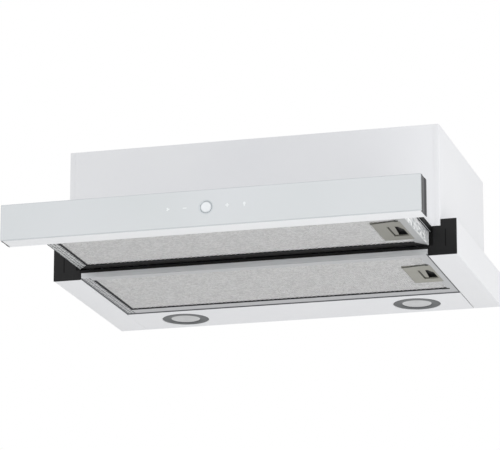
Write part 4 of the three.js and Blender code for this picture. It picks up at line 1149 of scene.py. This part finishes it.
outlet = metres({
    "tube": 60.0,      # radius of the spigot
    "mouth": 55.0,     # radius of the opening in the flange
    "wall": 1.5,
    "flange": 2.0,
    "fillet": 1.2,
    "edge": 0.5,
    "lead": 0.8,       # how far the rim is drawn in at the top
    "bead": 0.9,       # half of its height
    "beadProud": 0.35,
    "beadFoot": 1.0,
    "beadDown": 5.0,   # from the top
})
flap = metres({
    "top": 0.6,                      # upper face over the pin's axis
    "ribPlaces": (-24.0, 0.0, 24.0),
    "ribEnds": (36.0, 44.0, 36.0),   # from the pin's axis
    "ribStart": 9.0,
    "ribHalf": 0.8,
    "ribCorner": 0.7,
    "ribProud": 1.4,
    "ribEdge": 0.2,
})
screw = metres({
    "radius": 3.6,
    "height": 2.2,
    "slot": 0.7,
    "slotDepth": 0.9,
    "backInset": (4.4, 24.0),  # from the box's side, and from the panel's ends
    "topInset": (9.0, 30.0),
})


def panHead(name, centre, axis="z"):
    # dome: h = H sqrt(1 - 0.72 q^2), q = r / R, with a cross cut pressed into its middle
    radius, height, cut = screw["radius"], screw["height"], 0.6  # of the radius
    q = np.linspace(0, 1, 9)[:, None]
    t = np.linspace(0, 2 * np.pi, 48, endpoint=False)[None, :]
    dome = height * np.sqrt(1 - 0.72 * q ** 2)
    cross = np.minimum(np.abs(np.sin(t)), np.abs(np.cos(t))) * q * radius < screw["slot"] / 2
    dome = np.where(cross & (q < cut), dome - screw["slotDepth"], dome)
    u, v = q * radius * np.cos(t), q * radius * np.sin(t)
    foot = np.stack([radius * np.cos(t), radius * np.sin(t), 0 * t], -1)
    points = np.concatenate([np.stack([u, v, dome], -1), foot])
    if axis == "y":
        points = points[..., [0, 2, 1]]
    piece = gridPiece(name, points + np.asarray(centre), wrapColumns=True)
    form = bmesh.new()
    form.from_mesh(piece.data)
    bmesh.ops.remove_doubles(form, verts=form.verts, dist=weld)
    bmesh.ops.holes_fill(form, edges=form.edges)
    form.to_mesh(piece.data)
    form.free()
    closeMesh(piece, 25)
    return piece


def collar():
    # moulded spigot on a flange, seen in half: fillet, bead and a lead at its rim
    low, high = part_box("outlet_collar")
    middle, rim, tube, mouth = (low + high) / 2, (high.x - low.x) / 2, outlet["tube"], outlet["mouth"]
    neck, inside = tube - outlet["beadProud"], tube - outlet["wall"]
    edge, fillet, bead = outlet["edge"], outlet["fillet"], outlet["bead"]
    top, down = low.z + outlet["flange"], high.z - outlet["beadDown"]
    t = np.linspace(0, np.pi, 8)
    swell = np.column_stack([neck + outlet["beadProud"] * np.sin(t), down - bead * np.cos(t)])
    profile = np.vstack([
        [(mouth, low.z), (rim, low.z), (rim, top - edge), (rim - edge, top), (tube + fillet, top),
         (tube, top + fillet), (neck, down - bead - outlet["beadFoot"])], swell,
        [(neck, high.z - edge), (tube - outlet["lead"], high.z), (inside, high.z), (inside, top),
         (mouth, top)]])
    piece = turned("ductCollar", profile, (middle.x, middle.y, 0), steps=128, ring=True)
    dress(piece, darkPlastic, "housing", "grey_plastic", "outlet_collar")
    reach = (tube + rim) / 2
    heads = [panHead("head", (middle.x + reach * math.cos(a), middle.y + reach * math.sin(a), top))
             for a in np.radians([45, 135, 225, 315])]
    dress(joined("collarScrews", heads), steel, "housing", "bright_steel")


def flapRibs(word, side):
    # three low ribs that stiffen a flap, each a rounded bar on its upper face
    pinLow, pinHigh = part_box("damper_pin")
    pin, half, edge = (pinLow + pinHigh) / 2, flap["ribHalf"], flap["ribEdge"]
    top = pin.z + flap["top"]
    ribs = []
    for x, end in zip(flap["ribPlaces"], flap["ribEnds"]):
        y0, y1 = sorted((pin.y + side * flap["ribStart"], pin.y + side * end))
        outline = rounded(rectangle(x - half, x + half, y0, y1), flap["ribCorner"])
        ribs.append(extruded("rib", outline, "z", top - edge, top + flap["ribProud"], edge))
    dress(joined(f"flapRibs_{word}", ribs), darkPlastic, f"damper_{word}", "grey_plastic")


def panelScrews():
    # screws along the folded edges at the back and on the top plate
    low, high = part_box("back_panel")
    corner, (inset, end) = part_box("side_panel_right")[1], screw["backInset"]
    heads = [panHead("backHead", (side * (corner.x - inset), corner.y, z), "y")
             for z in np.linspace(low.z + end, high.z - end, 3) for side in (-1, 1)]
    dress(joined("backScrews", heads), steel, "housing", "bright_steel")
    low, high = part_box("top_plate")
    inset, end = screw["topInset"]
    heads = [panHead("topHead", (side * (high.x - inset), y, high.z))
             for y in np.linspace(low.y + end, high.y - end, 3) for side in (-1, 1)]
    dress(joined("topScrews", heads), steel, "housing", "bright_steel")


collar()
panelScrews()
for word, side in (("front", -1), ("rear", 1)):
    softened(f"damper_flap_{word}", f"damperFlap_{word}", darkPlastic, "grey_plastic", 0.25)
    flapRibs(word, side)
softened("damper_pin", "damperPin", steel, "bright_steel", 0.4)
print("outlet dressed")


# ---- fan and electrics

gland = metres({
    "bore": 3.6,         # radii
    "stub": 7.0,
    "nut": 10.2,
    "domeFoot": 8.4,
    "dome": ((8.0, 1.8), (6.2, 0.3), (4.6, 0.0)),  # radius, then how far under the top
    "boreEdge": 0.4,
    "stubOver": 1.0,     # over the top plate
    "nutOver": 4.4,
    "nutCorner": 1.2,
    "nutEdge": 0.4,
    "domeSunk": 0.1,
})


def cableGland():
    # a stub through the top plate, a hexagon nut and a dome, all round the cable's bore
    low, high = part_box("cable_gland")
    middle = (low + high) / 2
    centre = (middle.x, middle.y, 0)
    top, bore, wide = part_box("top_plate")[1].z + seatGap, gland["bore"], gland["stub"]
    over, nutTop = top + gland["stubOver"], top + gland["nutOver"]
    profile = [(bore, low.z), (wide, low.z), (wide, over), (bore, over)]
    stub = turned("stub", profile, centre, steps=64, ring=True)
    t = np.linspace(0, 2 * np.pi, 6, endpoint=False) + np.pi / 6
    hexagon = np.column_stack([middle.x + gland["nut"] * np.cos(t), middle.y + gland["nut"] * np.sin(t)])
    nut = extruded("nut", rounded(hexagon, gland["nutCorner"]), "z", top, nutTop, gland["nutEdge"])
    foot = nutTop - gland["domeSunk"]
    shell = [(radius, high.z - drop) for radius, drop in gland["dome"]]
    profile = [(bore, foot), (gland["domeFoot"], foot), *shell, (bore, high.z - gland["boreEdge"])]
    dome = turned("dome", profile, centre, steps=64, ring=True)
    dress(joined("cableGland", [stub, nut, dome]), blackPlastic, "housing", "black_plastic", "cable_gland")


for node, name, material, slot, bevel in (
        ("scroll_left", "scroll_left_half", darkPlastic, "grey_plastic", 0.4),
        ("scroll_right", "scroll_right_half", darkPlastic, "grey_plastic", 0.4),
        ("impeller", "fanWheel", darkPlastic, "grey_plastic", 0.15),
        ("fan_shaft", "fanShaft", steel, "bright_steel", 0.4),
        ("fan_motor", "fanMotor", zinc, "zinc_steel", 1.2),
        ("motor_bracket", "motorBracket", zinc, "zinc_steel", 0.4),
        ("terminal_box", "terminalBox", whitePlastic, "white_plastic", 1.0),
        ("lamp_driver", "lampDriver", whitePlastic, "white_plastic", 1.2),
        ("capacitor", "runCapacitor", whitePlastic, "white_plastic", 0.8),
        ("drawer_switch", "drawerSwitch", blackPlastic, "black_plastic", 0.5)):
    softened(node, name, material, slot, bevel)
cableGland()
print("fan and electrics dressed")
